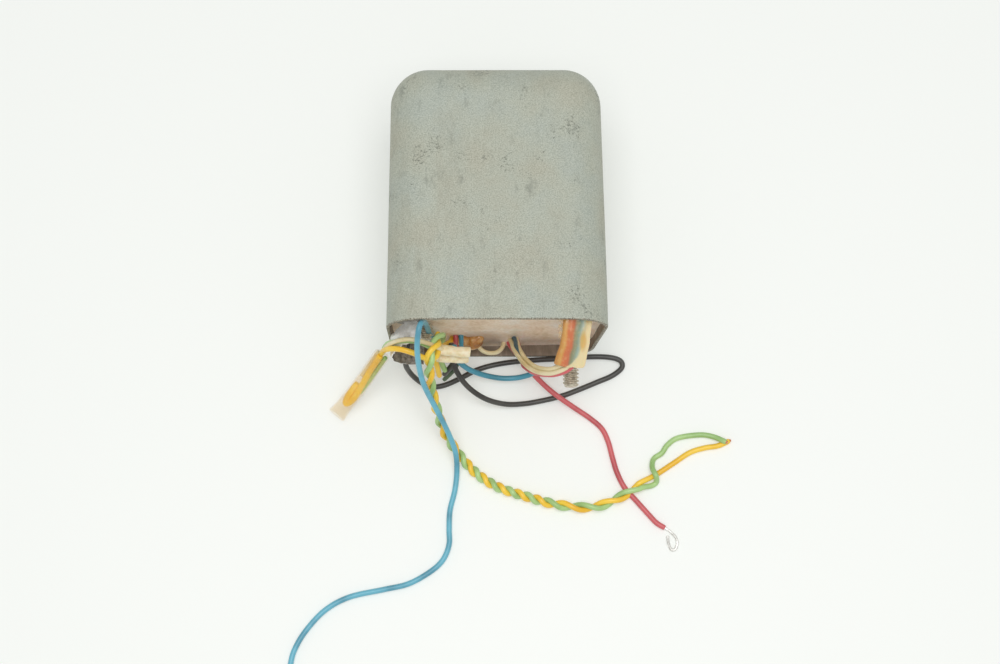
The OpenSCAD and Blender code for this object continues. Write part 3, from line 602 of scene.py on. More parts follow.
cameraSettings = {"place": (0.0007, -0.1479, 0.4981), "lookDown": 76, "lens": 61.2, "sensor": 36}
lightSettings = {"worldStrength": 0.52, "keyPower": 5.3, "keySize": 0.7, "keyPlace": (0.02, -0.12, 1.0),
                 "tableGlow": 0.24, "tableSize": 6}


def setStage():
    bpy.ops.object.camera_add(
        location=cameraSettings["place"],
        rotation=(math.radians(90 - cameraSettings["lookDown"]), 0, 0))
    camera = bpy.context.object
    camera.data.lens = cameraSettings["lens"]
    camera.data.sensor_width = cameraSettings["sensor"]
    camera.data.clip_start = 0.01
    bpy.context.scene.camera = camera
    world = bpy.data.worlds.new("soft studio")
    world.use_nodes = True
    world.node_tree.nodes["Background"].inputs["Color"].default_value = srgb("#fdfefc")
    world.node_tree.nodes["Background"].inputs["Strength"].default_value = lightSettings["worldStrength"]
    bpy.context.scene.world = world
    bpy.context.scene.view_settings.view_transform = "Standard"
    bpy.ops.object.light_add(type="AREA", location=lightSettings["keyPlace"])
    key = bpy.context.object
    key.data.energy = lightSettings["keyPower"]
    key.data.size = lightSettings["keySize"]
    key.rotation_euler = (-Vector(lightSettings["keyPlace"])).to_track_quat("-Z", "Y").to_euler()
    bpy.ops.mesh.primitive_plane_add(size=lightSettings["tableSize"], location=(0, 0, -0.00005))
    floor = bpy.context.object
    floor.name = "floor"
    # Opal acrylic, a light table: a little light comes up through it and softens the shadows
    acrylic = newMaterial("pale acrylic table", {
        "Roughness": 0.5, "Base Color": srgb("#dcdedb"), "Emission Color": srgb("#f8faf7"),
        "Emission Strength": lightSettings["tableGlow"]})[0]
    floor.data.materials.append(acrylic)


# Each free lead: its route, its size and real length in metres, and what is at its far end
leadSettings = {
    "blue_wire": {"route": "blue", "tone": "blue", "diameter": 0.0016, "length": 0.192,
                  "farEnd": "bare", "replaces": ["blue_lead"]},
    "black_wire": {"route": "black", "tone": "black", "diameter": 0.0016, "length": 0.152,
                   "farEnd": "object", "replaces": ["black_lead"]},
    "teal_wire": {"route": "teal", "tone": "teal", "diameter": 0.0016, "length": 0.035,
                  "farEnd": "object", "replaces": ["teal_link"]},
    "red_wire": {"route": "red", "tone": "red", "diameter": 0.0016, "length": 0.077,
                 "farEnd": "bare", "replaces": ["red_lead"]},
    "yellow_wire_fold": {"route": "yellowFold", "tone": "yellow", "diameter": 0.0016, "length": 0.032,
                         "farEnd": "object", "replaces": ["yellow_fold"]},
}
pairSettings = {
    # offset: from the pair's middle line to each strand's. The twist's pitch changes on the way
    "offset": 0.0008, "diameter": 0.0016, "step": 0.0012, "yellowStart": 100,
    "shares": (0, 0.3, 0.42, 0.5, 0.7, 0.8, 1),
    "pitches": (0.0115, 0.0105, 0.0085, 0.0058, 0.0058, 0.012, 0.0135),
    "lengths": {"yellow_strand": 0.157, "green_strand": 0.164},
}
bundleSettings = {
    "diameter": 0.0013,
    # Each wire's place beside the bundle's middle line and its lift above it, along the way
    "wires": {
        "bundle_cream_left": {"length": 0.040, "tone": "cream",
                              "beside": ((0, 0.0009), (0.4, 0.00065)), "lift": ((0, 0.00045),)},
        "bundle_cream_right": {"length": 0.038, "tone": "cream",
                               "beside": ((0, -0.0009), (0.4, -0.00065)), "lift": ((0, 0.00045),)},
        "bundle_red": {"length": 0.041, "tone": "red",
                       "beside": ((0, -0.0012), (0.3, -0.0009), (0.5, 0.001), (0.8, 0.0008), (1, 0.0015)),
                       "lift": ((0, -0.0012), (0.6, -0.0011), (1, -0.0003))},
        "bundle_dark_blue": {"length": 0.037, "tone": "darkBlue",
                             "beside": ((0, -0.0004), (0.4, 0), (0.8, -0.0006), (1, -0.0016)),
                             "lift": ((0, 0.0013), (0.2, 0.0011), (0.45, -0.001), (0.8, -0.0009),
                                      (1, -0.0003))},
    },
}
endSettings = {"diameter": 0.0008, "strands": 6, "twist": 14, "ridge": 0.07, "core": 0.0009}
leadStep = 0.0006  # between a lead's rings
shortStep = 0.0004  # between a short wire's or a sleeve's rings
fineStep = 0.0003  # between the rings of the smallest pieces


def tinnedEnd(name, route, replaced):
    # A tinned end of stranded wire: the outer strands show as a slight twist under the solder
    def strands(share, angle):
        turned = endSettings["strands"] * angle + endSettings["twist"] * share
        ridge = 1 + endSettings["ridge"] * math.cos(turned)
        return ridge, ridge
    path = smoothRoute(routes[route], fineStep)
    end = tube(name, path, endSettings["diameter"], corners=24, outline=strands)
    return finishPiece(end, name, [tinned], replaced)


def copperTip(name, path, rowStep, back, out, rings):
    # The wire's own core shows at a cut end, from inside the insulation to just past it
    tip = path[-1] + (path[-1] - path[-2]) / rowStep * np.linspace(-back, out, rings)[:, None]
    core = tube(name, tip, endSettings["core"], corners=14)
    return finishPiece(core, name, [copperCore])


def layCord(name, path, tone, settings, replaced):
    lead = tube(name, path, settings["diameter"])
    finishPiece(lead, name, [insulationOf[tone]], replaced)


def makeLeads():
    bare = tinnedEnd("blue_lead_end", "blueBare", ["blue_lead_bare_end"])
    eye = tinnedEnd("red_lead_loop", "eye", ["red_lead_eye"])
    for name, settings in leadSettings.items():
        path = smoothRoute(routes[settings["route"]], leadStep)
        path[:, 2] = np.maximum(path[:, 2], settings["diameter"] / 2)
        layCord(name, path, settings["tone"], settings, settings["replaces"])
    middle = smoothRoute(routes["bundle"], leadStep)
    ahead = np.gradient(middle, axis=0)
    level = np.hypot(ahead[:, 0], ahead[:, 1])[:, None]
    across = np.column_stack([ahead[:, 1], -ahead[:, 0]]) / level
    shares = np.linspace(0, 1, len(middle))
    for name, wire in bundleSettings["wires"].items():
        beside = np.interp(shares, *zip(*wire["beside"]))[:, None]
        lift = np.interp(shares, *zip(*wire["lift"]))
        path = middle + np.column_stack([beside * across, lift])
        settings = {"diameter": bundleSettings["diameter"], "length": wire["length"], "farEnd": "object"}
        layCord(f"{name}_wire", path, wire["tone"], settings, [name])


def strandPath(startAngle, tail):
    # One strand of the twisted pair: a helix whose pitch changes, then the strand's own tail
    middle = smoothRoute(routes["pair"], pairSettings["step"])
    sides, ups = carriedSides(middle)
    shares = np.linspace(0, 1, len(middle))
    pitch = np.interp(shares, pairSettings["shares"], pairSettings["pitches"])
    turns = np.cumsum(pairSettings["step"] / pitch)
    angles = 2 * math.pi * (turns - turns[0]) + math.radians(startAngle)
    spread = pairSettings["offset"] * (np.cos(angles)[:, None] * sides + np.sin(angles)[:, None] * ups)
    strand = middle + spread
    strand[:, 2] = np.maximum(strand[:, 2], pairSettings["diameter"] / 2)
    return smoothRoute([*strand[:-1], *tail[1:]], leadStep)


def makePair():
    start = pairSettings["yellowStart"]
    for name, tone, turn, tail in (("yellow_strand", "yellow", start, "yellowTail"),
                                   ("green_strand", "green", start + 180, "greenTail")):
        path = strandPath(turn, routes[tail])
        core = copperTip(f"{name}_core", path, leadStep, back=0.0015, out=0.0005, rings=5)
        settings = {"diameter": pairSettings["diameter"], "length": pairSettings["lengths"][name],
                    "farEnd": "bare"}
        layCord(name, path, tone, settings, ["twisted_pair", f"{tone}_tail"])


# Short wires and stubs, too short to be free cords, by CAD node: route, colour, diameter
shortWires = {
    "green_fold": ("greenFold", "green", 0.0013), "cream_arch": ("creamArch", "cream", 0.0013),
    "cream_loop": ("creamLoop", "cream", 0.0013), "yellow_stub": ("yellowStub", "yellow", 0.0016),
    "green_stub": ("greenStub", "green", 0.0016), "black_stub": ("blackStub", "black", 0.0016),
    "dark_green_stub": ("darkGreenStub", "darkGreen", 0.0013),
    "green_riser": ("greenRiser", "green", 0.0016), "yellow_riser": ("yellowRiser", "yellow", 0.0016),
}


def makeShortWires():
    for name, (route, tone, diameter) in shortWires.items():
        wire = tube(name, smoothRoute(routes[route], shortStep), diameter)
        finishPiece(wire, f"{name}_wire", [insulationOf[tone]], [name])
    for name, route in (("yellow_stub", "yellowStub"), ("black_stub", "blackStub")):
        path = smoothRoute(routes[route], shortStep)
        copperTip(f"{name}_core", path, shortStep, back=0.001, out=0.0003, rings=4)


def pucker(thing, size, depth):
    # Moves each point a little at random, in lumps of the given size
    for v in thing.data.vertices:
        v.co += Vector(noise.noise_vector(v.co / size)) * depth


wideSettings = {
    "width": 0.0083, "thickness": 0.0032, "wall": 0.0005, "ridges": 4, "ridgeHeight": 0.10,
    # hidden: its share under the can's rim. middle: where its middle line falls in its bands
    "hidden": 0.2, "middle": 0.46, "flare": 0.1, "flatten": 0.12, "puckerSize": 0.0028, "pucker": 0.00022,
}
flakeSettings = {"count": 9, "radius": 0.00075, "first": 0.1, "spacing": 0.045, "sway": 0.0008,
                 "beside": 0.0043, "rough": 0.0006, "roughDepth": 0.0003}
clearSettings = {
    "diameter": 0.005, "bore": 0.0042, "nipFrom": 0.8, "foldDiameter": 0.0019, "sideDiameter": 0.0013,
    "reach": 0.00098,
    # The folded wire's way inside the sleeve: share along it, reaches across, height
    "fold": [(0.0, 0.2, 0.0004), (0.25, 0.1, 0.0005), (0.5, -0.5, 0.0003), (0.72, -0.9, 0.0),
             (0.82, 0.0, 0.0), (0.72, 0.9, 0.0), (0.52, 1.05, -0.0002)],
    # The wires beside it: colour, reaches across, share of the sleeve that they go along
    "beside": [("green", -1.3, 0.6), ("cream", 1.3, 0.42)],
}
creamSettings = {"diameter": 0.0028, "bore": 0.0019, "puckerSize": 0.002, "pucker": 0.00018}


def makeWideSleeve():
    # Flattened over four wires, with a soft ridge over each, and open at its lower end
    path = smoothRoute(routes["wide"], shortStep)
    flat = wideSettings["width"] / wideSettings["thickness"]

    def outline(share, angle):
        across = math.sin(angle)
        ridge = 1 + wideSettings["ridgeHeight"] * math.cos(math.pi * wideSettings["ridges"] * across)
        wider = flat * (1 + wideSettings["flare"] * share**3)
        return wider * (0.5 + 0.5 * abs(across)**0.2), ridge * (1 - wideSettings["flatten"] * share)
    bore = wideSettings["thickness"] - 2 * wideSettings["wall"]
    sleeve = tube("wide_sleeve", path, wideSettings["thickness"], bore=bore, corners=64, outline=outline,
                  ends=0.94)
    sleeve.data.attributes.new("bandPlace", "FLOAT", "POINT")
    sleeve.data.attributes.new("skirtPlace", "FLOAT", "POINT")
    ups = carriedSides(path)[1]
    bands, skirt = [], []
    for v in sleeve.data.vertices:
        offsets = np.array(v.co) - path
        near = int(np.argmin(np.linalg.norm(offsets, axis=1)))
        across = float(offsets[near] @ ups[near]) / wideSettings["width"] * np.sign(ups[0][0])
        share = max(0.0, near / len(path) - wideSettings["hidden"]) / (1 - wideSettings["hidden"])
        wiresEnd = 0.8 - 0.25 * share - 0.35 * share**8  # how far across the wires reach here
        bands.append(wideSettings["middle"] + across)
        skirt.append(wideSettings["middle"] + across - wiresEnd)
    sleeve.data.attributes["bandPlace"].data.foreach_set("value", bands)
    sleeve.data.attributes["skirtPlace"].data.foreach_set("value", skirt)
    pucker(sleeve, wideSettings["puckerSize"], wideSettings["pucker"])  # as the hot knife left it
    finishPiece(sleeve, "wide_sleeve_skin", [bandedSleeve], ["wide_sleeve"])


def makeTornEdge():
    # Glossy flakes of dried varnish stand along the sleeve's upper left edge
    path = smoothRoute(routes["wide"], shortStep)
    radius = flakeSettings["radius"]
    for number in range(flakeSettings["count"]):
        share = flakeSettings["first"] + flakeSettings["spacing"] * number
        x, y, z = path[int(share * (len(path) - 1))]
        sway = flakeSettings["sway"] * math.sin(2.3 * number)
        bpy.ops.mesh.primitive_ico_sphere_add(
            subdivisions=3, radius=radius,
            location=(x - flakeSettings["beside"] + sway * 0.5, y - 0.0004, z + 0.0003 + sway * 0.3))
        flake = bpy.context.object
        flake.scale = (0.8, 0.45, 1.3)
        flake.rotation_euler = (0.5 * number, 0.9 * number, 0.3 * number)
        bpy.ops.object.transform_apply(location=True, rotation=True, scale=True)
        pucker(flake, flakeSettings["rough"], flakeSettings["roughDepth"])
        smoothShade(flake, 180)
        finishPiece(flake, f"varnish_flake_{number + 1}", [seeThrough])


def makeClearSleeve():
    path = smoothRoute(routes["clear"], 0.0005)

    def pinched(share, angle):  # nipped flat where it was cut
        nip = max(0.0, (share - clearSettings["nipFrom"]) / (1 - clearSettings["nipFrom"]))**2
        return 1 + 0.14 * nip, 1 - 0.7 * nip
    sleeve = tube("clear_sleeve", path, clearSettings["diameter"], bore=clearSettings["bore"], corners=40,
                  outline=pinched, ends=0.97)
    finishPiece(sleeve, "clear_sleeve_tube", [seeThrough], ["clear_sleeve"])
    # Inside it the yellow wire folds back on itself, and two more stop beside it
    sides, ups = carriedSides(path)

    def inside(share, reaches, high):
        i = int(share * (len(path) - 1))
        return path[i] + reaches * clearSettings["reach"] * ups[i] + high * sides[i]
    fold = smoothRoute([inside(*place) for place in clearSettings["fold"]], fineStep)
    wire = tube("yellow_folded_end", fold, clearSettings["foldDiameter"])
    finishPiece(wire, "yellow_folded_end", [insulationOf["yellow"]])
    for tone, reaches, reachTo in clearSettings["beside"]:
        name = f"{tone}_folded_end"
        beside = [inside(share, reaches, -0.0006) for share in np.linspace(0, reachTo, 4)]
        wire = tube(name, smoothRoute(beside, fineStep), clearSettings["sideDiameter"])
        finishPiece(wire, name, [insulationOf[tone]])


def makeCreamSleeves():
    def soft(share, angle):
        pinch = 1 + 0.05 * math.sin(9 * share) + 0.04 * math.cos(2 * angle + 5 * share)
        return 1.08 * pinch, 0.92 * pinch
    for name, route in (("cream_sleeve_upper", "creamUpper"), ("cream_sleeve_lower", "creamLower")):
        path = smoothRoute(routes[route], shortStep)
        sleeve = tube(name, path, creamSettings["diameter"], bore=creamSettings["bore"], corners=32,
                      outline=soft, ends=0.95)
        pucker(sleeve, creamSettings["puckerSize"], creamSettings["pucker"])
        finishPiece(sleeve, f"{name}_tube", [creamSoft], [name])


canSettings = {
    "corner": 0.011, "wall": 0.001, "rimRound": 0.0003, "segments": 12, "rows": 0.0035, "strips": 9,
    # The right side was knocked in at the rim: how far, how high and how deep it reaches
    "dentIn": 0.0034, "dentTop": 0.038, "dentFoot": 0.004, "dentBack": 0.03, "dentFrom": 0.012,
    # The sides flare at the rim and draw in towards the closed end, more on the right
    "flare": 0.00055, "drawRight": 0.0016, "drawLeft": 0.0003,
    "ripple": 0.00006, "rippleSize": 0.012,
}


def shapeLikeCan(thing):
    # The knock in the right side and the draw of the sides, the same for can and resin
    low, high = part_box("can")
    top, foot, dentFrom = canSettings["dentTop"], canSettings["dentFoot"], canSettings["dentFrom"]
    for v in thing.data.vertices:
        inward = (v.co.y - low.y) / (high.y - low.y)
        depth = max(0.0, 1 - (v.co.y - low.y) / canSettings["dentBack"])**2
        drop = min(1.0, max(0.0, (top - v.co.z) / (top - foot)))
        side = max(0.0, (v.co.x - dentFrom) / (high.x - dentFrom))
        draw = canSettings["drawRight"] if v.co.x > 0 else canSettings["drawLeft"]
        v.co.x += (canSettings["flare"] - draw * inward) * v.co.x / high.x
        v.co.x -= canSettings["dentIn"] * depth * drop * side


def roundLikeCan(thing, backY, radius):
    # Rounds the edges along the can and those round its closed end
    selectEdges(thing, lambda a, b: abs(a.y - b.y) > 0.01 or min(a.y, b.y) > backY - 0.001)
    bpy.ops.mesh.bevel(offset=radius, segments=canSettings["segments"], profile=0.5, affect="EDGES")


def makeCan():
    low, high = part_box("can")
    middle = (low + high) / 2
    corner = canSettings["corner"]
    bpy.ops.mesh.primitive_cube_add(size=1, location=middle, scale=high - low)
    can = bpy.context.object
    bpy.ops.object.transform_apply(location=True, rotation=True, scale=True)
    roundLikeCan(can, high.y, corner)
    selectFaces(can, lambda centre, normal: normal.y < -0.99 and centre.y < low.y + 0.0005)
    bpy.ops.mesh.delete(type="FACE")
    cutAt(1, np.arange(low.y + 0.0015, high.y - corner, canSettings["rows"]))
    cutAt(0, np.linspace(low.x + corner, high.x - corner, canSettings["strips"])[1:-1])
    cutAt(2, np.linspace(low.z + corner, high.z - corner, canSettings["strips"])[1:-1])
    bpy.ops.object.mode_set(mode="OBJECT")
    shapeLikeCan(can)
    for v in can.data.vertices:
        inward = (Vector((0, middle.y, middle.z)) - v.co).normalized()
        v.co += inward * canSettings["ripple"] * (1 + noise.noise(v.co / canSettings["rippleSize"]))
    can.data.materials.append(enamel)
    can.data.materials.append(innerSteel)
    applyModifier(can, "SOLIDIFY", {"thickness": canSettings["wall"], "offset": -1, "use_even_offset": True,
                                    "material_offset": 1, "material_offset_rim": 0})
    selectEdges(can, lambda a, b: max(a.y, b.y) < low.y + 0.0004)
    bpy.ops.mesh.bevel(offset=canSettings["rimRound"], segments=3, affect="EDGES")
    bpy.ops.object.mode_set(mode="OBJECT")
    smoothShade(can, 35)
    finishPiece(can, "drawn_can", [], ["can"])


resinSettings = {
    "grid": 0.0011, "rows": 0.012, "gap": 0.00003, "front": 0.0005,
    "meniscus": 0.0008, "meniscusReach": 0.0009, "ripple": 0.0002, "rippleSize": 0.006,
    "fine": 0.00007, "fineSize": 0.0018,
    # Lumps where leads come out: x, z, height, reach
    "lumps": [(-0.009, 0.0055, 0.0016, 0.004), (0.0035, 0.0052, 0.0016, 0.0026),
              (-0.016, 0.015, 0.001, 0.004), (0.021, 0.023, 0.0007, 0.0036),
              (0.022, 0.0405, 0.0012, 0.0055), (-0.003, 0.0065, 0.0007, 0.006),
              (0.012, 0.012, 0.0004, 0.006)],
}


def makeResin():
    # The whole cast block, which fills the can to a few millimetres below its rim
    low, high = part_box("potting_compound")
    size, middle = high - low, (low + high) / 2
    gap, grid = resinSettings["gap"], resinSettings["grid"]
    bpy.ops.mesh.primitive_cube_add(size=1, location=middle, scale=size - Vector((2, 2, 2)) * gap)
    block = bpy.context.object
    bpy.ops.object.transform_apply(location=True, rotation=True, scale=True)
    corner = canSettings["corner"] - canSettings["wall"]
    roundLikeCan(block, high.y, corner)
    cutAt(0, np.arange(low.x + 0.0006, high.x, grid))
    cutAt(2, np.arange(low.z + 0.0006, high.z, grid))
    cutAt(1, np.arange(low.y + 0.006, high.y - corner, resinSettings["rows"]))
    bpy.ops.object.mode_set(mode="OBJECT")
    for v in block.data.vertices:
        if v.co.y > low.y + resinSettings["front"]:
            continue
        overX = max(0.0, abs(v.co.x) - (size.x / 2 - corner))
        overZ = max(0.0, abs(v.co.z - middle.z) - (size.z / 2 - corner))
        toWall = max(0.0, corner - math.hypot(overX, overZ))
        rise = resinSettings["meniscus"] * math.exp(-toWall / resinSettings["meniscusReach"])
        for x, z, height, reach in resinSettings["lumps"]:
            away = math.hypot(v.co.x - x, v.co.z - z) / reach
            rise += height * math.exp(-away * away)
        rise += resinSettings["ripple"] * (1 + noise.noise(v.co / resinSettings["rippleSize"]))
        rise += resinSettings["fine"] * noise.noise(v.co / resinSettings["fineSize"])
        v.co.y -= rise
    shapeLikeCan(block)
    smoothShade(block, 60)
    finishPiece(block, "cast_block", [resin], ["potting_compound"])


studSettings = {"pitch": 0.00106, "depth": 0.00062, "flat": 1.25, "rowsPerTurn": 10, "corners": 40,
                "chamfer": 0.0006, "chamferIn": 0.9, "wear": 0.00005}


def makeStud(name, cadNode):
    # A rolled Whitworth thread: the cylinder's rows rise and fall along a helix
    low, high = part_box(cadNode)
    centre = (low + high) / 2
    radius = (high.x - low.x) / 2
    pitch, chamfer = studSettings["pitch"], studSettings["chamfer"]
    bpy.ops.mesh.primitive_cylinder_add(
        vertices=studSettings["corners"], radius=radius, depth=high.y - low.y, location=centre,
        rotation=(math.radians(90), 0, 0), end_fill_type="NGON")
    stud = bpy.context.object
    bpy.ops.object.transform_apply(location=True, rotation=True, scale=True)
    bpy.ops.object.mode_set(mode="EDIT")
    rowStep = pitch / studSettings["rowsPerTurn"]
    cutAt(1, np.arange(low.y + rowStep, high.y - rowStep / 2, rowStep))
    bpy.ops.object.mode_set(mode="OBJECT")
    for v in stud.data.vertices:
        x, z = v.co.x - centre.x, v.co.z - centre.z
        turn = math.atan2(z, x) / (2 * math.pi)
        phase = ((v.co.y - low.y) / pitch + turn) % 1
        dip = min(1.0, studSettings["flat"] * (0.5 + 0.5 * math.cos(2 * math.pi * phase)))
        tip = max(0.0, chamfer - (v.co.y - low.y))
        r = radius - max(studSettings["depth"] * dip, tip * studSettings["chamferIn"])
        r -= studSettings["wear"] * (1 + noise.noise(v.co / 0.001))
        v.co.x, v.co.z = centre.x + x * r / radius, centre.z + z * r / radius
    smoothShade(stud, 60)
    finishPiece(stud, name, [dullPlating], [cadNode])


stripSettings = {
    "centre": (-0.0234, 0.0246), "radius": 0.0075, "tall": 1.22, "length": 0.006, "thickness": 0.0004,
    "lean": 0.0024, "rows": 14, "corners": 72, "openFrom": 0.0022,
    # The tongue: its middle's place left of the centre, half its width, its steps back
    "tongueLeft": 0.0015, "tongueHalf": 0.0022, "tongueSteps": 5, "tongueStep": 0.0011,
    "crumple": 0.0007, "edgeWave": 0.0007,
}
footSettings = {"place": (-0.0253, -0.0283, 0.0358), "size": (0.0078, 0.001, 0.0096), "corner": 0.0026,
                "grid": 0.0006, "wave": 0.0006, "waveSize": 0.0024, "puckerSize": 0.0012, "pucker": 0.00015}


def makeStrip():
    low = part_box("tinned_strip")[0]
    x, z = stripSettings["centre"]
    length, radius = stripSettings["length"], stripSettings["radius"]
    bpy.ops.mesh.primitive_cylinder_add(
        vertices=stripSettings["corners"], radius=radius, depth=length, end_fill_type="NOTHING",
        location=(x, low.y + length / 2, z), rotation=(math.radians(90), 0, 0))
    strip = bpy.context.object
    bpy.ops.object.transform_apply(location=True, rotation=True, scale=True)
    # The curl is open on its right side
    selectFaces(strip, lambda middle, normal: middle.x > x + stripSettings["openFrom"])
    bpy.ops.mesh.delete(type="FACE")
    rowStep = length / stripSettings["rows"]
    cutAt(1, np.arange(low.y + rowStep, low.y + length - rowStep / 2, rowStep))
    # Its upper edge runs back into the resin as a tongue
    tongueX = x - stripSettings["tongueLeft"]
    selectEdges(strip, lambda a, b: min(a.y, b.y) > low.y + length - 0.0001 and min(a.z, b.z) > z
                and max(abs(a.x - tongueX), abs(b.x - tongueX)) < stripSettings["tongueHalf"])
    for row in range(stripSettings["tongueSteps"]):
        bpy.ops.mesh.extrude_region_move(
            TRANSFORM_OT_translate={"value": (0, stripSettings["tongueStep"], 0)})
    bpy.ops.object.mode_set(mode="OBJECT")
    for v in strip.data.vertices:
        v.co.y += stripSettings["lean"] * max(0.0, (v.co.z - z) / radius)**2
        v.co.z = z + (v.co.z - z) * stripSettings["tall"]
        out = Vector((v.co.x - x, 0, v.co.z - z)).normalized()
        fold = noise.noise(Vector((v.co.x / 0.0021, v.co.y / 0.004, v.co.z / 0.0021)))
        fine = noise.noise(v.co / 0.0009)
        v.co += out * stripSettings["crumple"] * (0.7 * fold - 0.35 + 0.15 * fine)
        wave = noise.noise(Vector((v.co.x / 0.002, 3, v.co.z / 0.002)))
        v.co.y += stripSettings["edgeWave"] * wave
    # The outside takes the bright tin, which is partly a painted highlight. Through the solidify's material
    # offset, the inside takes the darker tin as painted shade inside the curl
    strip.data.materials.append(tinned)
    strip.data.materials.append(dullTinAndInnerShade)
    applyModifier(strip, "SOLIDIFY", {"thickness": stripSettings["thickness"], "offset": -1,
                                      "material_offset": 1})
    smoothShade(strip, 30)
    finishPiece(strip, "crumpled_strip", [], ["tinned_strip"])


def makeFoot():
    # The strip's flat foot stands on the resin in the upper left corner
    place, size = Vector(footSettings["place"]), Vector(footSettings["size"])
    bpy.ops.mesh.primitive_cube_add(size=1, location=place, scale=size)
    foot = bpy.context.object
    bpy.ops.object.transform_apply(location=True, rotation=True, scale=True)
    selectEdges(foot, lambda a, b: abs(a.y - b.y) > size.y / 2)
    bpy.ops.mesh.bevel(offset=footSettings["corner"], segments=6, affect="EDGES")
    low, high = place - size / 2, place + size / 2
    cutAt(0, np.arange(low.x + 0.0005, high.x, footSettings["grid"]))
    cutAt(2, np.arange(low.z + 0.0005, high.z, footSettings["grid"]))
    bpy.ops.object.mode_set(mode="OBJECT")
    waveSize = footSettings["waveSize"]
    for v in foot.data.vertices:
        wave = noise.noise(Vector((v.co.x / waveSize, 1, v.co.z / waveSize)))
        v.co.y += footSettings["wave"] * wave - 0.0002
    pucker(foot, footSettings["puckerSize"], footSettings["pucker"])
    smoothShade(foot, 40)
    finishPiece(foot, "strip_foot", [dullTinAndInnerShade])


waxSettings = {
    "voxel": 0.0002, "puckerSize": 0.0016, "pucker": 0.0003, "wireDiameter": 0.0015,
    # Its drops: x, y, z, radius
    "drops": [(-0.0107, -0.0282, 0.0086, 0.0024), (-0.0071, -0.0284, 0.008, 0.0027),
              (-0.0092, -0.0278, 0.0068, 0.0022), (-0.0057, -0.0276, 0.0092, 0.0018)],
    # Two wire ends stand in it at its left: name, x, colour
    "wires": [("wax_wire_brown", -0.0124, "red"), ("wax_wire_teal", -0.0108, "teal")],
}


def makeWax():
    drops = []
    for x, y, z, radius in waxSettings["drops"]:
        bpy.ops.mesh.primitive_ico_sphere_add(subdivisions=4, radius=radius, location=(x, y, z))
        drops.append(bpy.context.object)
    onlySelect(drops[0])
    for drop in drops:
        drop.select_set(True)
    bpy.ops.object.join()
    wax = bpy.context.object
    bpy.ops.object.transform_apply(location=True, rotation=True, scale=True)
    applyModifier(wax, "REMESH", {"mode": "VOXEL", "voxel_size": waxSettings["voxel"]})
    applyModifier(wax, "SMOOTH", {"factor": 0.8, "iterations": 12})
    pucker(wax, waxSettings["puckerSize"], waxSettings["pucker"])
    smoothShade(wax, 180)
    finishPiece(wax, "wax_drops", [brownWax], ["wax_blob"])
    for name, x, tone in waxSettings["wires"]:
        route = [(x, -0.0272, 0.011), (x + 0.0001, -0.0296, 0.0098), (x + 0.0003, -0.0306, 0.0066)]
        wire = tube(name, smoothRoute(route, fineStep), waxSettings["wireDiameter"])
        finishPiece(wire, name, [insulationOf[tone]])


def finishInside():
    looks = {
        "e_laminations": coreSteel, "i_laminations": coreSteel,
        "bobbin": bobbinBoard, "primary_winding": copper, "secondary_winding": copper,
        "interlayer_insulation": tape, "outer_wrap": tape, "clamp_frame": dullPlating,
        "stud_bracket": dullPlating, "stud_heads": dullPlating,
    }
    for name, material in looks.items():
        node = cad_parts[name]
        node.data.materials.clear()
        node.data.materials.append(material)


insulationOf = {tone: insulation(tone) for tone in insulationTones}
# Dull zinc plating on steel, yellowed, with dirt in the thread
dullPlating = metal("yellowed zinc plating", ("#7a7062", "#cdc3b0", "#fdf8ec"), 1.3, 0.4, 0.08)
# Tinning on soft metal: bright outside, its near-white tones partly its own tin and partly a painted
# highlight on the creases. Its darker copy is painted shade on the strip's inner faces, and is also the
# dull tin of the strip's foot
tinned = metal("crumpled tinplate and painted highlight", ("#b4b1ab", "#f0eee9", "#ffffff"), 2.2, 0.26, 0.2, 0.25)
dullTinAndInnerShade = metal("mottled dull tinplate and painted inner shade", ("#4f4a44", "#97908a", "#cfc9bf"), 1.2, 0.45, 0.2, 0.3)
copperCore = metal("copper core", ("#a85f3c", "#d98a62", "#f0b48f"), 0.5, 0.35, 0.05, 0.8)
# Brown hard wax: translucent, amber where thin and dark where dirt is trapped
brownWax = mottled(
    "hard wax", {"Roughness": 0.28, "IOR": 1.45, "Subsurface Weight": 0.5, "Subsurface Scale": 0.002,
                 "Subsurface Radius": (1.0, 0.5, 0.2), "Coat Weight": 0.35, "Coat Roughness": 0.15},
    (2.2, 5, 0.6), [(0.3, "#8a5a2e"), (0.5, "#bd8444"), (0.68, "#d8b078")], (0.4, 0.2))
bandedSleeve = agedSleeve()
# Clear PVC sleeve gone yellow with age, and dried varnish: see-through, glossy, a little cloudy
seeThrough = mottled(
    "clear aged sleeve", {"Roughness": 0.16, "IOR": 1.4, "Alpha": 0.15, "Coat Weight": 0.4,
                          "Coat Roughness": 0.1},
    (2.5, 5, 0.5), [(0.3, "#f3c566"), (0.7, "#fbe3a6")], (0.2, 0.1))
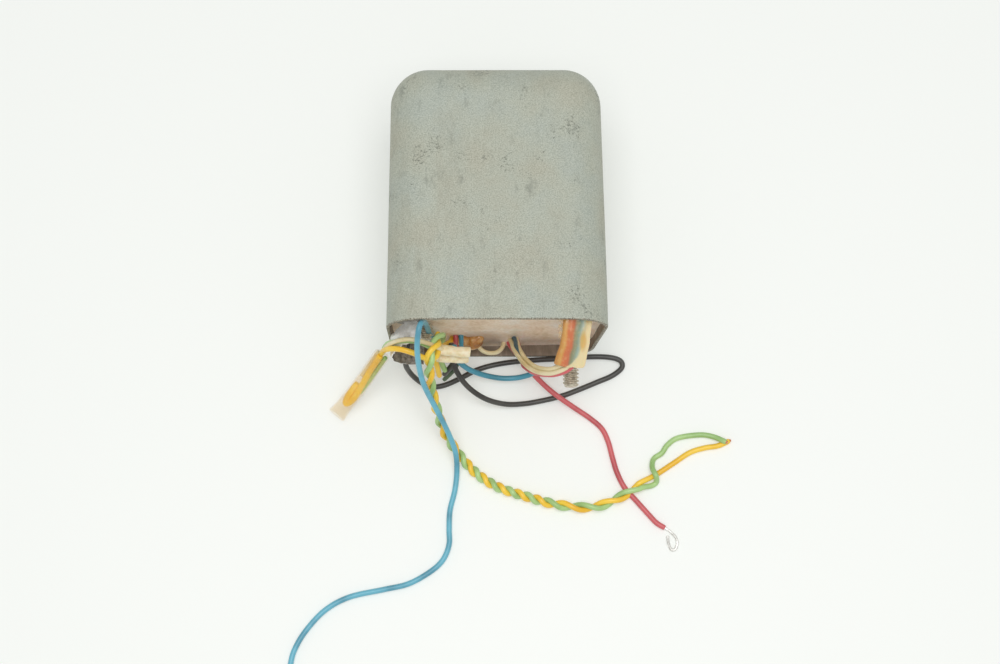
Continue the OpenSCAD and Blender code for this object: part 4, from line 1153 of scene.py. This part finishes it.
# Cream silicone sleeve: soft, matte, a little see-through at its edges
creamSoft = mottled(
    "cream sleeve", {"Roughness": 0.45, "IOR": 1.45, "Subsurface Weight": 0.08, "Subsurface Scale": 0.001},
    (1.8, 5, 0.6), [(0.3, "#e2cd9b"), (0.5, "#f0e2c0"), (0.75, "#f8f0da")], (0.25, 0.1))
enamel = stoveEnamel()
# The can's bare inner wall, browned by resin: dull, streaked along the draw
innerSteel = mottled(
    "resin-stained steel", {"Roughness": 0.5, "Metallic": 0.25}, (2.2, 6, 0.65),
    [(0.3, "#6d5f50"), (0.55, "#8a7b6b"), (0.78, "#a69785")], (0.3, 0.12), stretch=(1, 0.25, 1))
resin = castResin()
# Stamped silicon steel sheets: dull grey lines, drawn six times coarser than the 0.5 mm
# sheets so that they show
coreSteel = layered("stacked silicon steel", {"Roughness": 0.45, "Metallic": 0.8}, 3.14, "Z",
                    [(0.1, "#55585c"), (0.4, "#7b7e82")], (0.5, 0.1))
# Enamelled copper, wound in layers: glossy, its turns drawn six times coarser than 0.4 mm
copper = layered("enamelled copper", {"Roughness": 0.3, "Metallic": 0.9, "Coat Weight": 0.5}, 2.51, "Y",
                 [(0.1, "#7a3b18"), (0.6, "#c8753a")], (0.8, 0.2))
# Varnished paper and moulded board: matte, fibrous
tape = mottled("varnished paper", {"Roughness": 0.55}, (1.2, 8, 0.7),
               [(0.3, "#c9b06a"), (0.7, "#e9d9a0")], (0.3, 0.1))
bobbinBoard = mottled("moulded board", {"Roughness": 0.55}, (1.2, 8, 0.7),
                      [(0.3, "#d6caa6"), (0.7, "#efe8d2")], (0.3, 0.1))

setStage()
print("stage set")
makeLeads()
makePair()
makeShortWires()
print("leads laid")
makeWideSleeve()
makeTornEdge()
makeClearSleeve()
makeCreamSleeves()
print("sleeves made")
makeCan()
makeResin()
makeStud("threaded_stud", "mounting_stud")
makeStud("cut_off_stud", "cut_stud")
makeStrip()
makeFoot()
makeWax()
finishInside()
print("can, resin, studs, strip and wax made")
